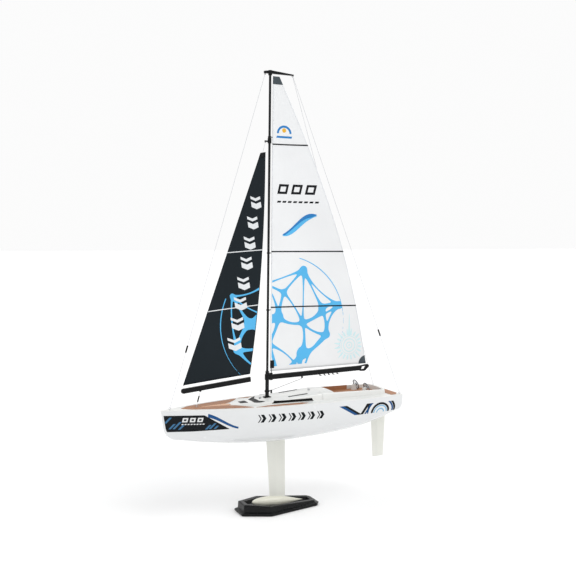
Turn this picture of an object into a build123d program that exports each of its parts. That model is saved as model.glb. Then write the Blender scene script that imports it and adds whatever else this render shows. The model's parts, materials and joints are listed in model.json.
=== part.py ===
from build123d import *
import math
import os

# A remote-controlled sailboat on its display stand, in millimetres.
# +X runs to the bow, +Y to port, +Z up. The origin is under the middle of the hull's
# length, on the surface that the stand rests on.

# ---- Driving dimensions -------------------------------------------------------------

SHEER_Z = 174.0  # top edge of the hull
WALL = 1.6  # hull shell
SKIN = 1.2  # deck, cabin and cover mouldings
DECK_Z = SHEER_Z + SKIN  # walking surface of the deck

MAST_X = 26.04  # the mast's axis at its foot
MAST_RAKE = 0.0124  # how far it leans aft, for each millimetre of height
MAST_R = 1.9
MAST_FOOT_Z = 181.2
MAST_TOP_Z = 693.0
SLEEVE_R = 2.95
SLEEVE_TOP_Z = 223.0
SPIGOT_R = 3.6  # the mast step's spigot in the cabin roof

RUN_GAP = 0.05  # radial running clearance of a pin in its hole
LINE_R = 0.3  # rigging line
CLOTH = 0.5  # thickness of a sail
TAPE = 0.3  # thickness of a batten or patch on the cloth

BULB_NOSE = Vector(52.2, 0, 14.4)
BULB_TAIL = Vector(-38.0, 0, 7.6)
BULB_R = 8.7
FIN_TAIL_X = -5.2
STAND_HALF = [(76.0, 16.0), (33.5, 36.5), (-54.5, 20.0), (-61.0, 11.0)]
STAND_RIM_Z = 11.6  # height of the stand's rim over the origin
STAND_SLOPE = 0.068  # how far the rim rises, for each millimetre towards the bow
RUDDER_X = -176.0
RUDDER_STOCK_R = 1.5
STOCK_LOW_Z = 112.0  # the stock ends this high in the blade
ARM_REACH = 14.0  # tiller arm and servo horn, centre to pin

# Hull stations: sheer x, keel x, half beam, keel z, fullness of the bilge.
STATIONS = [
    (-200.0, -200.0, 45.0, 143.0, 0.84),
    (-156.0, -156.0, 48.8, 128.7, 0.80),
    (-105.0, -105.0, 51.3, 119.0, 0.76),
    (-45.0, -45.0, 52.0, 114.0, 0.74),
    (15.0, 15.0, 50.0, 112.0, 0.70),
    (70.0, 70.0, 43.0, 113.8, 0.64),
    (118.0, 117.0, 31.0, 118.6, 0.56),
    (158.0, 155.0, 17.5, 124.6, 0.48),
    (184.0, 177.0, 7.6, 128.6, 0.42),
    (200.0, 195.5, 1.0, 131.0, 0.40),
]

# The line of the stem and the forefoot, x and z from the deck down.
STEM = [(200.3, 176.0), (197.0, 155.0), (195.3, 146.0), (191.8, 137.7), (185.0, 131.5), (165.0, 124.0)]

CABIN_NOSE_X = 89.0
CABIN_AFT_X = -58.0
CABIN_HALF = 31.0  # half width of the cabin and the cockpit cover at the deck
CABIN_LEAN = 0.14  # how far the sides lean in, for each millimetre of rise
ROOF_AFT_Z = 186.6
ROOF_SLOPE = 0.072  # the roof falls this much towards the bow

COVER_FORE_X = CABIN_AFT_X - 0.4
COVER_AFT_X = -176.0
COVER_AFT_Z = 184.2
COVER_BOTTOM_Z = DECK_Z + 0.05
WELL = (-171.0, -80.0, 26.8)  # cockpit well: x from, x to, half width
WELL_FLOOR_Z = 176.5
HATCH = (-164.0, -72.0, 21.0)  # opening in the deck under the cover

WHEEL_X = -147.0  # middle of each steering wheel
WHEEL_Y = 17.4
WHEEL_Z = 185.8
WHEEL_R = 8.8
WHEEL_WIRE = 0.9
WHEEL_TILT = 22.0
PEDESTAL_X = -143.0  # middle of each post's foot
POST_LONG = 4.2  # half length and half width of a post's foot
POST_WIDE = 3.0

TRAY_Z = 152.0  # top face of the servo tray
RUDDER_SERVO_X = -130.0  # axis of the rudder servo's output
SAIL_SERVO_AXIS = (-70.0, 18.0)
SAIL_ARM_REACH = 30.0
HORN_Z = 163.4

BATTERY = (-104.0, -56.0, -32.0, -6.0)  # the battery box's plan: x0, x1, y0, y1
SWITCH_X = -122.0
SWITCH_Y = -24.0

EYE_R = 1.4
EYE_WIRE = 0.4
EYE_Z = DECK_Z + EYE_R + EYE_WIRE + 0.2  # middle of a screw eye on the deck
BOW_EYE = (185.7, 0, EYE_Z)
STERN_EYE = (-196.0, 41.5, EYE_Z)
CRANE_NOSE = (28.4, 0, 688.2)
CRANE_TAIL = (-19.0, 0, 688.2)
STAY_SPREAD = 0.6  # each backstay leaves the crane's eye this far off the middle

BOOM_FRONT = (22.5, 213.0)
BOOM_END = (-161.0, 217.0)
BOOM_DEPTH = 7.6
BOOM_WIDTH = 4.4
BOOM_HOOK_X = -68.0  # the foremost of the five hooks under the boom
BOOM_HOOK_PITCH = 8.0
COLLAR_R = 3.9  # the rings that turn on the mast's sleeve
VANG_HIGH = (-36.0, 0, 206.6)

LUFF_GAP = 4.9  # the mainsail's luff is this far behind the mast's axis
TACK_Z = 222.0
CLEW = (-155.5, 223.6)
HEAD_TOP_Z = 685.5
HEAD_WIDTH = 11.0
LEECH = [(-46.0, 581.5), (-111.4, 412.0), (-136.0, 322.0)]
BATTEN_FRONTS = (580.5, 412.2, 324.0)  # height of each batten at the luff
LUFF_RINGS = (319.0, 409.0, 590.0)

JIB_PIVOT_LOW = Vector(143.6, 0, 177.1)
JIB_PIVOT_HIGH = Vector(28.2, 0, 582.3)
JIB_BOOM_FRONT = (164.0, 201.8)
JIB_BOOM_REAR = (54.5, 212.0)
JIB_BOOM_DEPTH = 7.4
JIB_TACK = (164.8, 210.4)
JIB_CLEW = (55.1, 220.2)
JIB_HEAD_FRONT = (36.4, 566.0)
JIB_HEAD_REAR = (28.0, 567.5)
JIB_LEECH = [(33.5, 415.0), (40.8, 328.6)]
JIB_BATTENS = [((92.7, 410.8), (33.5, 415.0)), ((124.2, 321.0), (40.8, 328.6))]


# ---- Helpers ------------------------------------------------------------------------


def block(x0, x1, y0, y1, z0, z1):
    """A box between two corners."""
    return Pos((x0 + x1) / 2, (y0 + y1) / 2, (z0 + z1) / 2) * Box(x1 - x0, y1 - y0, z1 - z0)


def rod(start, end, radius):
    """A round bar between two points."""
    start, end = Vector(*start), Vector(*end)
    along = end - start
    return Solid.make_cylinder(radius, along.length, Plane(start, z_dir=along))


def upright(x, y, z0, z1, radius):
    """A vertical round bar."""
    return rod((x, y, z0), (x, y, z1), radius)


def mast_x(z):
    """Where the raked mast's axis is at one height."""
    return MAST_X - MAST_RAKE * (z - MAST_FOOT_Z)


def on_mast(z0, z1, radius):
    """A round bar along the mast's axis."""
    return rod((mast_x(z0), 0, z0), (mast_x(z1), 0, z1), radius)


def slab(points, y0, y1):
    """A flat plate whose outline is given in the XZ plane."""
    wire = Wire.make_polygon([Vector(x, y0, z) for x, z in points], close=True)
    return Solid.extrude(Face(wire), Vector(0, y1 - y0, 0))


def plate(points, z0, z1):
    """A flat plate whose outline is given in the XY plane."""
    wire = Wire.make_polygon([Vector(x, y, z0) for x, y in points], close=True)
    return Solid.extrude(Face(wire), Vector(0, 0, z1 - z0))


def bar(start, end, depth, width):
    """A bar of rectangular section in the XZ plane, with its middle line from start to end."""
    (x0, z0), (x1, z1) = start, end
    length = math.hypot(x1 - x0, z1 - z0)
    nx, nz = (z0 - z1) / length * depth / 2, (x1 - x0) / length * depth / 2
    corners = [(x0 + nx, z0 + nz), (x1 + nx, z1 + nz), (x1 - nx, z1 - nz), (x0 - nx, z0 - nz)]
    return slab(corners, -width / 2, width / 2)


def ruled(lower, upper):
    """A solid with flat faces between two outlines of equal point count."""
    wires = [Wire.make_polygon([Vector(*p) for p in ring], close=True) for ring in (lower, upper)]
    return Solid.make_loft(wires, ruled=True)


def both_sides(shape):
    """The shape and its mirror image across the centre plane."""
    return [shape, shape.mirror(Plane.XZ)]


def eye(x, y, z, radius, wire):
    """A ring eye with its middle at the point, whose hole runs across the boat."""
    return Solid.make_torus(radius, wire, Plane(Vector(x, y, z), z_dir=Vector(0, 1, 0)))


def solids_of(shape):
    """The separate solids in whatever a modelling step returned."""
    if isinstance(shape, (list, tuple)):
        return [s for item in shape for s in solids_of(item)]
    return list(shape.solids())


def save(name, *shapes):
    """Writes one node."""
    found = solids_of(shapes)
    whole = found[0] if len(found) == 1 else Compound(found)
    export_step(whole, f"parts/{name}.step")


# ---- Hull ---------------------------------------------------------------------------


def hull_section(station, inset, top):
    """The closed outline of the hull at one station, drawn in by the inset."""
    x_sheer, x_keel, half_beam, keel_z, fullness = station
    beam = half_beam - inset
    keel = keel_z + inset
    depth = top - keel

    def point(y, z):
        down = (SHEER_Z - z) / (SHEER_Z - keel_z)
        return Vector(x_sheer + (x_keel - x_sheer) * down, y, z)

    def side(sign):
        return [
            point(sign * beam, top),
            point(sign * beam, top - 0.7 * depth),
            point(sign * beam * fullness, keel),
            point(0, keel),
        ]

    port = Edge.make_bezier(*side(1))
    starboard = Edge.make_bezier(*reversed(side(-1)))
    lid = Edge.make_line(side(-1)[0], side(1)[0])
    return Wire([port, starboard, lid])


def behind_stem():
    """Everything behind the curved line of the stem and the forefoot."""
    stem = Edge.make_spline([Vector(x, -60, z) for x, z in STEM])
    back = -210.0
    corners = [STEM[-1], (STEM[-1][0], 0), (back, 0), (back, STEM[0][1]), STEM[0]]
    sides = [
        Edge.make_line(Vector(a[0], -60, a[1]), Vector(b[0], -60, b[1]))
        for a, b in zip(corners, corners[1:])
    ]
    return Solid.extrude(Face(Wire([stem, *sides])), Vector(0, 120, 0))


def hull_body():
    """The hull's outside as one solid."""
    return Solid.make_loft([hull_section(s, 0, SHEER_Z) for s in STATIONS]) & behind_stem()


def hull_inside():
    """The space in the hull, which runs a little past its top edge."""
    aft = (STATIONS[0][0] + WALL, STATIONS[0][0] + WALL) + STATIONS[0][2:]
    inner = [aft] + STATIONS[1:-1]
    return Solid.make_loft([hull_section(s, WALL, SHEER_Z + 1) for s in inner])


def hull_shell(outside, inside):
    """The hull, open at the top, with the keel slot and the rudder tube's hole."""
    shell = outside - inside
    shell -= block(-3.1, 21.1, -1.6, 1.6, 100, 125)
    shell -= upright(RUDDER_X, 0, 120, 150, 2.5)
    return shell


def half_beam_at(x):
    """The half beam of the deck's edge, in straight runs between the stations."""
    for aft, fore in zip(STATIONS, STATIONS[1:]):
        if aft[0] <= x <= fore[0]:
            part = (x - aft[0]) / (fore[0] - aft[0])
            return aft[2] + (fore[2] - aft[2]) * part
    return 0.0


# ---- Deck, cabin and cover ----------------------------------------------------------


def roof_z(x):
    """The cabin roof's height: a low nose, then the windscreen's step up to the roof."""
    roof = ROOF_AFT_Z + ROOF_SLOPE * (CABIN_AFT_X - x)
    nose = DECK_Z + 0.6 + 0.03 * (CABIN_NOSE_X - x)
    share = min(max((52.0 - x) / 16.0, 0.0), 1.0)
    return nose + (roof - nose) * share * share * (3 - 2 * share)


def cabin_half(x):
    """The cabin's half width at the deck: parallel sides and a rounded nose."""
    share = max(x - 15.0, 0.0) / (CABIN_NOSE_X + 1 - 15.0)
    return CABIN_HALF * (1 - share**2.6) ** 0.6


def cabin_stations(count=22):
    """Evenly spaced cabin stations: x, half width at the deck, roof height."""
    step = (CABIN_NOSE_X - CABIN_AFT_X) / (count - 1)
    xs = [CABIN_NOSE_X - step * k for k in range(count)]
    return [(x, cabin_half(x), roof_z(x)) for x in xs]


def cover_stations(end_gap=0.0):
    """The two ends of the cockpit cover, whose sides run straight between them."""
    return [
        (COVER_FORE_X - end_gap, CABIN_HALF, ROOF_AFT_Z),
        (COVER_AFT_X + end_gap, 28.6, COVER_AFT_Z),
    ]


def trunk_section(x, half_width, roof, base):
    """A cabin section: sloping sides, round shoulders and a crowned roof."""
    rise = roof - base
    shoulder = half_width - CABIN_LEAN * rise

    def run(sign):
        return [
            Vector(x, sign * shoulder, roof - 0.3 * rise),
            Vector(x, sign * shoulder * 0.98, roof),
            Vector(x, sign * shoulder * 0.7, roof),
            Vector(x, 0, roof + 0.5),
        ]

    port_wall = Edge.make_line(Vector(x, half_width, base), run(1)[0])
    port_roof = Edge.make_bezier(*run(1))
    starboard_roof = Edge.make_bezier(*reversed(run(-1)))
    starboard_wall = Edge.make_line(run(-1)[0], Vector(x, -half_width, base))
    floor = Edge.make_line(Vector(x, -half_width, base), Vector(x, half_width, base))
    return Wire([port_wall, port_roof, starboard_roof, starboard_wall, floor])


def trunk(stations, grow, base):
    """A cabin or cover as a solid, larger all round by grow."""
    sections = [trunk_section(x, w + grow, roof + grow, base) for x, w, roof in stations]
    return Solid.make_loft(sections, ruled=len(sections) == 2)


def cabin_body(grow=0.0, base=DECK_Z - 0.4):
    """The cabin's outside as one solid, larger all round by grow."""
    return trunk(cabin_stations(), grow, base)


def cabin_room():
    """The space under the cabin's skin."""
    stations = [s for s in cabin_stations() if s[0] < 68]
    x, half, roof = stations[-1]
    stations[-1] = (x + SKIN, half, roof)
    return trunk(stations, -SKIN, SHEER_Z - 1)


def deck_outline_face(z):
    """The deck's plan at one height."""
    port = [Vector(s[0], s[2], z) for s in STATIONS]
    starboard = [Vector(s[0], -s[2], z) for s in reversed(STATIONS)]
    edges = [
        Edge.make_spline(port),
        Edge.make_line(port[-1], starboard[0]),
        Edge.make_spline(starboard),
        Edge.make_line(starboard[-1], port[0]),
    ]
    return Face(Wire(edges))


def deck_moulding():
    """The deck plate and the hollow cabin trunk in one moulding."""
    flat = Solid.extrude(deck_outline_face(SHEER_Z), Vector(0, 0, SKIN))
    x0, x1, half = HATCH
    moulding = flat + cabin_body() - cabin_room() - block(x0, x1, -half, half, 170, 180)
    return moulding - upright(MAST_X, 0, 177, 187, SPIGOT_R)


def mast_step():
    """A plate on the cabin roof with a spigot through it and a socket for the mast."""
    foot = block(MAST_X - 5.5, MAST_X + 5.5, -4.4, 4.4, 180, 182.3) - cabin_body()
    spigot = upright(MAST_X, 0, 178.4, 183.4, SPIGOT_R)
    return foot + spigot - on_mast(MAST_FOOT_Z, 187, SLEEVE_R)


def cabin_panel(outline_solid, proud):
    """What a prism cuts from a thin layer round the cabin."""
    layer = cabin_body(proud, DECK_Z + 0.3)
    return (layer & outline_solid) - cabin_body()


def cabin_windows():
    """The two long side windows and the windscreen across the cabin's front."""
    pane = [(31, 176.9), (-41, 175.6), (-38.5, 179.6), (26, 180.2)]
    window = cabin_panel(slab(pane, 15, 40), 0.35)
    screen = [(53, -13), (45, -20.5), (38.5, -21.5), (44, -11)]
    outline = screen + [(x, -y) for x, y in reversed(screen)]
    windscreen = cabin_panel(plate(outline, 176, 190), 0.35)
    return both_sides(window) + [windscreen]


def roof_stripes():
    """Two dark hand rails let into the cabin roof."""
    rail = [(-3, 16.6), (-36, 17.4), (-36, 21.0), (-3, 20.2)]
    return both_sides(cabin_panel(plate(rail, 180, 192), 0.35))


def foredeck_hatch():
    """A dark hatch on the cabin's nose."""
    return cabin_panel(plate([(73.5, -6), (73.5, 6), (62, 8), (62, -8)], 175.6, 184), 0.4)


def teak_sheet(points):
    """A thin planked panel on the deck, trimmed to the cabin."""
    return plate(points, DECK_Z, DECK_Z + 0.45) - cabin_body(0.1)


def foredeck_teak():
    """The two arms of the V on the foredeck."""
    outer = [(x, half_beam_at(x) - 6.5) for x in (155, 140, 120, 100, 84, 72)]
    arm = [(168, 0.2), *outer, (64, 37.4), (70, 29), (84, 14), (96, 6.6), (140, 0.9)]
    return both_sides(teak_sheet(arm))


def foredeck_centre_plank():
    """The paler wedge between the two arms."""
    return teak_sheet([(138, 0), (96, 6.2), (88, 4), (88, -4), (96, -6.2)])


def side_deck_teak():
    """One long strip down each side deck."""
    outer = [(x, half_beam_at(x) - 5.0) for x in (52, 30, 0, -14)]
    inner = [(-19, 38), (10, 36), (40, 35.4)]
    return both_sides(teak_sheet([(61, 39.4), *outer, (-26, 43.4), *inner]))


def aft_deck_teak():
    """The planked patch behind the cockpit."""
    half = [(-197.5, 30), (-190, 40.5), (-180, 41.5)]
    return plate(half + [(x, -y) for x, y in reversed(half)], DECK_Z, DECK_Z + 0.45)


def well_block(grow, z0):
    """The cockpit well, open at the top, larger by grow."""
    x0, x1, half = WELL
    return block(x0 - grow, x1 + grow, -half - grow, half + grow, z0, 195)


def cockpit_cover():
    """The lift-off cover: a hollow coaming round a cockpit well, with a lip below."""
    outside = trunk(cover_stations(), 0, COVER_BOTTOM_Z)
    room = trunk(cover_stations(SKIN), -SKIN, COVER_BOTTOM_Z - 1)
    room &= block(WELL[1] + SKIN, 0, -50, 50, 170, 200)
    x0, x1, half = HATCH
    play = 0.4
    lip = block(x0 + play, x1 - play, play - half, half - play, 171.5, COVER_BOTTOM_Z + 0.1)
    lip -= block(x0 + play + SKIN, x1 - play - SKIN, play + SKIN - half, half - play - SKIN, 170, 180)
    return outside - well_block(0, WELL_FLOOR_Z) - room + lip


def cockpit_teak():
    """The planked sole and the linings of the well's two sides."""
    x0, x1, half = WELL
    sole = block(x0, x1, -half, half, WELL_FLOOR_Z, WELL_FLOOR_Z + 0.5)
    for y in (-WHEEL_Y, WHEEL_Y):
        x = PEDESTAL_X
        sole -= block(x - POST_LONG, x + POST_LONG, y - POST_WIDE, y + POST_WIDE, 170, 190)
    lining = block(-134, x1 - 1, half - 0.45, half, WELL_FLOOR_Z + 0.5, 184.0)
    return [sole] + both_sides(lining)


# ---- Steering wheels ----------------------------------------------------------------

WHEEL_AXIS = Vector(-math.cos(math.radians(WHEEL_TILT)), 0, math.sin(math.radians(WHEEL_TILT)))


def on_wheel_axis(side, along):
    """A point on the wheel's axle, counted from the wheel's middle."""
    centre = Vector(WHEEL_X, side * WHEEL_Y, WHEEL_Z)
    return tuple(centre + WHEEL_AXIS * along)


def pedestal(side):
    """A tapered post with a stub axle for the wheel."""
    y = side * WHEEL_Y
    corners = ((-1, -1), (-1, 1), (1, 1), (1, -1))
    foot = [(PEDESTAL_X + POST_LONG * a, y + POST_WIDE * b, WELL_FLOOR_Z) for a, b in corners]
    top = [(PEDESTAL_X + 0.6 + 2.2 * a, y + 2.0 * b, 186.4) for a, b in corners]
    head = rod(on_wheel_axis(side, -3.8), on_wheel_axis(side, -0.9), 1.8)
    axle = rod(on_wheel_axis(side, -1.0), on_wheel_axis(side, 1.4), 0.6)
    return ruled(foot, top) + head + axle


def steering_wheel(side):
    """A rim, six spokes and a hub with a bore for the axle."""
    plane = Plane(Vector(*on_wheel_axis(side, 0)), z_dir=WHEEL_AXIS)
    rim = Solid.make_torus(WHEEL_R - WHEEL_WIRE, WHEEL_WIRE, plane)
    hub = rod(on_wheel_axis(side, -0.8), on_wheel_axis(side, 1.2), 1.5)
    centre = plane.origin
    for k in range(6):
        angle = math.radians(30 + 60 * k)
        out = plane.x_dir * math.cos(angle) + plane.y_dir * math.sin(angle)
        hub += rod(tuple(centre + out * 1.2), tuple(centre + out * (WHEEL_R - 0.9)), 0.4)
    wheel = rim + hub
    return wheel - rod(on_wheel_axis(side, -2), on_wheel_axis(side, 2), 0.6 + RUN_GAP)


# ---- Keel ---------------------------------------------------------------------------


def foil(x_nose, x_tail, z, half_thick):
    """A six-sided symmetric foil section with a ridge at two fifths of its chord."""
    ridge = x_nose + 0.42 * (x_tail - x_nose)
    return [
        (x_nose, 0.35, z),
        (ridge, half_thick, z),
        (x_tail, 0.45, z),
        (x_tail, -0.45, z),
        (ridge, -half_thick, z),
        (x_nose, -0.35, z),
    ]


def keel_fin(outside):
    """The fin, with a tenon that goes through the hull into the keel trunk."""
    fin = ruled(foil(21.3, FIN_TAIL_X, 14, 2.5), foil(28.0, FIN_TAIL_X, 122, 3.3)) - outside
    tenon = block(-3, 21, -1.5, 1.5, 108, 134)
    return fin + tenon - upright(9, 0, 120, 140, 1.0)


def keel_trunk(inside):
    """A box moulded to the hull's floor that holds the fin's tenon."""
    box = block(-7, 25, -5, 5, 108, 150) & inside
    return box - block(-3.1, 21.1, -1.6, 1.6, 100, 134.1) - upright(9, 0, 130, 155, 1.6)


def keel_bolt():
    """The bolt that pulls the fin up into the trunk."""
    shank = upright(9, 0, 122, 150, 1.0)
    head = upright(9, 0, 150, 152.4, 3.2) - block(4, 14, -0.4, 0.4, 151.6, 153)
    return shank + head


def bulb_body(grow):
    """A drop-shaped bulb of revolution on its sloping axis, larger all round by grow."""
    along = (BULB_TAIL - BULB_NOSE).normalized()
    outwards = Vector(-along.Z, 0, along.X) * -1
    length = (BULB_TAIL - BULB_NOSE).length
    radius = BULB_R + grow

    def at(distance, out):
        return BULB_NOSE + along * distance + outwards * out

    fore = Edge.make_bezier(at(-grow, 0), at(-grow, 0.62 * radius), at(18.6, radius), at(38, radius))
    aft = Edge.make_bezier(at(38, radius), at(55, radius), at(68, 0.42 * radius), at(length + grow, 0))
    line = Edge.make_line(at(length + grow, 0), at(-grow, 0))
    return Solid.revolve(Face(Wire([fore, aft, line])), 360, Axis(tuple(BULB_NOSE), tuple(along)))


def keel_bulb(fin):
    """The bulb's skin."""
    return bulb_body(0) - bulb_body(-1.2) - fin


def ballast_weight(fin):
    """The heavy core that fills the bulb."""
    return bulb_body(-1.2) - fin


# ---- Stand --------------------------------------------------------------------------


def drawn_in(outline, inset):
    """A closed outline, listed anticlockwise, with every side moved inwards."""
    moved = []
    for k, here in enumerate(outline):
        before, after = outline[k - 1], outline[(k + 1) % len(outline)]
        ux, uy = here[0] - before[0], here[1] - before[1]
        vx, vy = after[0] - here[0], after[1] - here[1]
        u, v = math.hypot(ux, uy), math.hypot(vx, vy)
        turn = (ux * vy - uy * vx) / (u * v)
        moved.append((here[0] + inset * (vx / v - ux / u) / turn, here[1] + inset * (vy / v - uy / u) / turn))
    return moved


def stand_ring(inset, z, slope=0.0):
    """The stand's plan drawn in evenly, at a height that may rise towards the bow."""
    outline = STAND_HALF + [(x, -y) for x, y in reversed(STAND_HALF)]
    points = [Vector(x, y, z + slope * x) for x, y in drawn_in(outline, inset)]
    return Wire.make_polygon(points, close=True)


def stand_base():
    """The rounded flange, the wall up to the sloping rim, and the recess for the bulb."""
    flange = [(1.3, 0), (0.3, 0.9), (0, 2.2), (0.3, 3.4), (1.4, 4.2), (3.4, 4.7), (4.6, 5.4)]
    rim = [(5.1, -1.5), (5.7, -0.5), (7.2, 0), (9.8, 0), (10.8, -0.4)]
    rings = [stand_ring(inset, z) for inset, z in flange]
    rings += [stand_ring(inset, STAND_RIM_Z + drop, STAND_SLOPE) for inset, drop in rim]
    base = Solid.make_loft(rings, ruled=True)
    floor = stand_ring(14.5, STAND_RIM_Z - 4.2, STAND_SLOPE)
    mouth = stand_ring(12.0, STAND_RIM_Z + 2, STAND_SLOPE)
    return base - Solid.make_loft([floor, mouth], ruled=True) - bulb_body(0.3)


# ---- Rudder and radio gear ----------------------------------------------------------


def rudder_blade():
    """The blade, cut at the top to follow the hull's bottom."""
    blade = ruled(foil(-169.8, -190.2, 63, 1.2), foil(-165.5, -194.5, 145, 2.2))
    sky = slab([(-160, 125.6), (-200, 140.2), (-200, 160), (-160, 160)], -10, 10)
    return blade - sky - upright(RUDDER_X, 0, STOCK_LOW_Z, 150, RUDDER_STOCK_R)


def rudder_stock():
    """The pin that the blade hangs on."""
    return upright(RUDDER_X, 0, STOCK_LOW_Z, 170, RUDDER_STOCK_R)


def rudder_tube():
    """The tube through the hull that the stock turns in."""
    outer = upright(RUDDER_X, 0, 134.5, 162.5, 2.5)
    return outer - upright(RUDDER_X, 0, 120, 170, RUDDER_STOCK_R + RUN_GAP)


def lever(x, z, bore, thick=2.0):
    """A flat arm that reaches to starboard and ends in an upright pin."""
    hub = upright(x, 0, z, z + thick + 1, 3.4)
    arm = block(x - 1.6, x + 1.6, -ARM_REACH, 0, z, z + thick)
    tip = upright(x, -ARM_REACH, z, z + thick, 2.4)
    pin = upright(x, -ARM_REACH, z + thick, z + thick + 3.2, 0.8)
    return hub + arm + tip + pin - upright(x, 0, z - 5, z + 10, bore)


def pushrod():
    """The rod between the two pins, with an eye at each end."""
    z = HORN_Z + 2.3
    rod_z = z + 0.9
    shape = rod((RUDDER_X, -ARM_REACH, rod_z), (RUDDER_SERVO_X, -ARM_REACH, rod_z), 0.8)
    for x in (RUDDER_X, RUDDER_SERVO_X):
        shape += upright(x, -ARM_REACH, z, z + 1.8, 2.2)
    for x in (RUDDER_X, RUDDER_SERVO_X):
        shape -= upright(x, -ARM_REACH, z - 2, z + 5, 0.8 + RUN_GAP)
    return shape


def servo(axis, length, width, height, tab, turret, axis_from_end, spline_r):
    """A servo case that hangs in the tray, with tabs, a turret and an output shaft."""
    x, y = axis
    x1 = x + axis_from_end
    x0 = x1 - length
    below = 0.72 * height
    case = block(x0, x1, y - width / 2, y + width / 2, TRAY_Z - below, TRAY_Z + height - below)
    case += block(x0 - tab, x1 + tab, y - width / 2, y + width / 2, TRAY_Z, TRAY_Z + 2.4)
    top = TRAY_Z + height - below
    case += upright(x, y, top - 1, top + 3, turret)
    case += upright(x, y, top + 2, HORN_Z + 2.4, spline_r)
    return case


SAIL_SERVO = {"length": 40.5, "width": 20.0, "height": 30.0, "tab": 7.0, "turret": 6.5,
              "axis_from_end": 10.0, "spline_r": 2.9}
RUDDER_SERVO = {"length": 22.6, "width": 12.0, "height": 22.0, "tab": 5.0, "turret": 5.4,
                "axis_from_end": 16.6, "spline_r": 2.3}


def screw_places():
    """Where the servos are screwed down, with each hole's middle."""
    places = []
    for axis, spec in ((SAIL_SERVO_AXIS, SAIL_SERVO), ((RUDDER_SERVO_X, 0), RUDDER_SERVO)):
        fore = axis[0] + spec["axis_from_end"] + spec["tab"] / 2
        aft = fore - spec["length"] - spec["tab"]
        rows = (-5, 5) if spec["width"] > 15 else (0,)
        places += [(x, axis[1] + row) for x in (aft, fore) for row in rows]
    return places


def drilled(shape):
    """The shape with the servo screws' holes."""
    for x, y in screw_places():
        shape -= upright(x, y, 140, 160, 0.8)
    return shape


def servo_screws():
    """The six pan-head screws."""
    screws = []
    for x, y in screw_places():
        head = upright(x, y, TRAY_Z + 2.4, TRAY_Z + 3.8, 1.7)
        head -= block(x - 2, x + 2, y - 0.25, y + 0.25, TRAY_Z + 3.2, TRAY_Z + 4)
        screws.append(head + upright(x, y, TRAY_Z - 3.5, TRAY_Z + 2.4, 0.8))
    return screws


def sail_arm():
    """The long arm that hauls the sheets, with a sheet hole at its tip."""
    x, y = SAIL_SERVO_AXIS
    tip = y - SAIL_ARM_REACH
    arm = block(x - 2.5, x + 2.5, tip, y, HORN_Z, HORN_Z + 2)
    arm += upright(x, y, HORN_Z, HORN_Z + 3, 5) + upright(x, tip, HORN_Z, HORN_Z + 2, 3.2)
    arm -= upright(x, y, HORN_Z - 5, HORN_Z + 10, SAIL_SERVO["spline_r"] + RUN_GAP)
    return arm - upright(x, tip, HORN_Z - 5, HORN_Z + 5, 1.2)


def servo_tray(inside):
    """The shelf that the gear hangs in, on four legs that stand on the hull's floor."""
    tray = block(-142, -48, -40, 40, TRAY_Z - 1.6, TRAY_Z)
    legs = [block(x, x + 5, y, y + 5, 110, TRAY_Z - 1.6) for x in (-110, -53) for y in (-40, 35)]
    for leg in legs:
        tray += leg & inside
    for axis, spec in ((SAIL_SERVO_AXIS, SAIL_SERVO), ((RUDDER_SERVO_X, 0), RUDDER_SERVO)):
        x1 = axis[0] + spec["axis_from_end"]
        half = spec["width"] / 2
        tray -= block(x1 - spec["length"], x1, axis[1] - half, axis[1] + half, 140, 160)
    x0, x1, y0, y1 = BATTERY
    tray -= block(x0, x1, y0, y1, 140, 160)
    tray = (tray & block(-142, -48, -40, 40, 100, 160)) & inside
    return drilled(tray)


def battery_box():
    """The open box for the four cells, with a rim that rests on the tray."""
    x0, x1, y0, y1 = BATTERY
    box = block(x0, x1, y0, y1, 137, 160) + block(x0 - 2, x1 + 2, y0 - 2, y1 + 2, TRAY_Z, TRAY_Z + 1.5)
    return box - block(x0 + 1.4, x1 - 1.4, y0 + 1.4, y1 - 1.4, 138.4, 165)


def battery_cells():
    """Four cells in two layers, each with its raised end."""
    x0, _, y0, y1 = BATTERY
    radius = 5.1
    middle = (y0 + y1) / 2
    cells = []
    for z in (138.4 + radius, 138.4 + 3 * radius + 0.2):
        for y in (middle - radius - 0.2, middle + radius + 0.2):
            can = rod((x0 + 1.7, y, z), (x0 + 45.2, y, z), radius)
            cells.append(can + rod((x0 + 45.2, y, z), (x0 + 46.2, y, z), 1.9))
    return cells


def battery_lid():
    """The flat lid of the battery box."""
    x0, x1, y0, y1 = BATTERY
    return block(x0, x1, y0, y1, 160, 161.4) + block(x0 + 18, x1 - 18, y1 - 4, y1 - 1, 161.4, 162.2)


def receiver_box():
    """The radio receiver's case with its row of sockets."""
    case = block(-136, -112, 14, 34, TRAY_Z, TRAY_Z + 10)
    for k in range(3):
        case -= block(-134 + 8 * k, -129 + 8 * k, 33, 35, TRAY_Z + 3, TRAY_Z + 7)
    return case


def switch_body():
    """The power switch's case with the slot that its slider runs in."""
    x, y = SWITCH_X, SWITCH_Y
    case = block(x - 9, x + 9, y - 4, y + 4, TRAY_Z, TRAY_Z + 8)
    return case - block(x - 4.5, x + 4.5, y - 1.7, y + 1.7, TRAY_Z + 3, TRAY_Z + 9)


def switch_slider():
    """The switch's slider, drawn at its rear stop."""
    x, y = SWITCH_X, SWITCH_Y
    foot = block(x - 4.4, x + 1.4, y - 1.65, y + 1.65, TRAY_Z + 3.05, TRAY_Z + 6)
    return foot + block(x - 3, x, y - 1.4, y + 1.4, TRAY_Z + 6, TRAY_Z + 10.5)


# ---- Mast and standing rigging ------------------------------------------------------



def mast_tube():
    """The mast's long tube."""
    return on_mast(MAST_FOOT_Z, MAST_TOP_Z, MAST_R)


def mast_lower_sleeve():
    """The thicker sleeve that the booms' collars turn on."""
    return on_mast(MAST_FOOT_Z, SLEEVE_TOP_Z, SLEEVE_R) - mast_tube()


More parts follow.
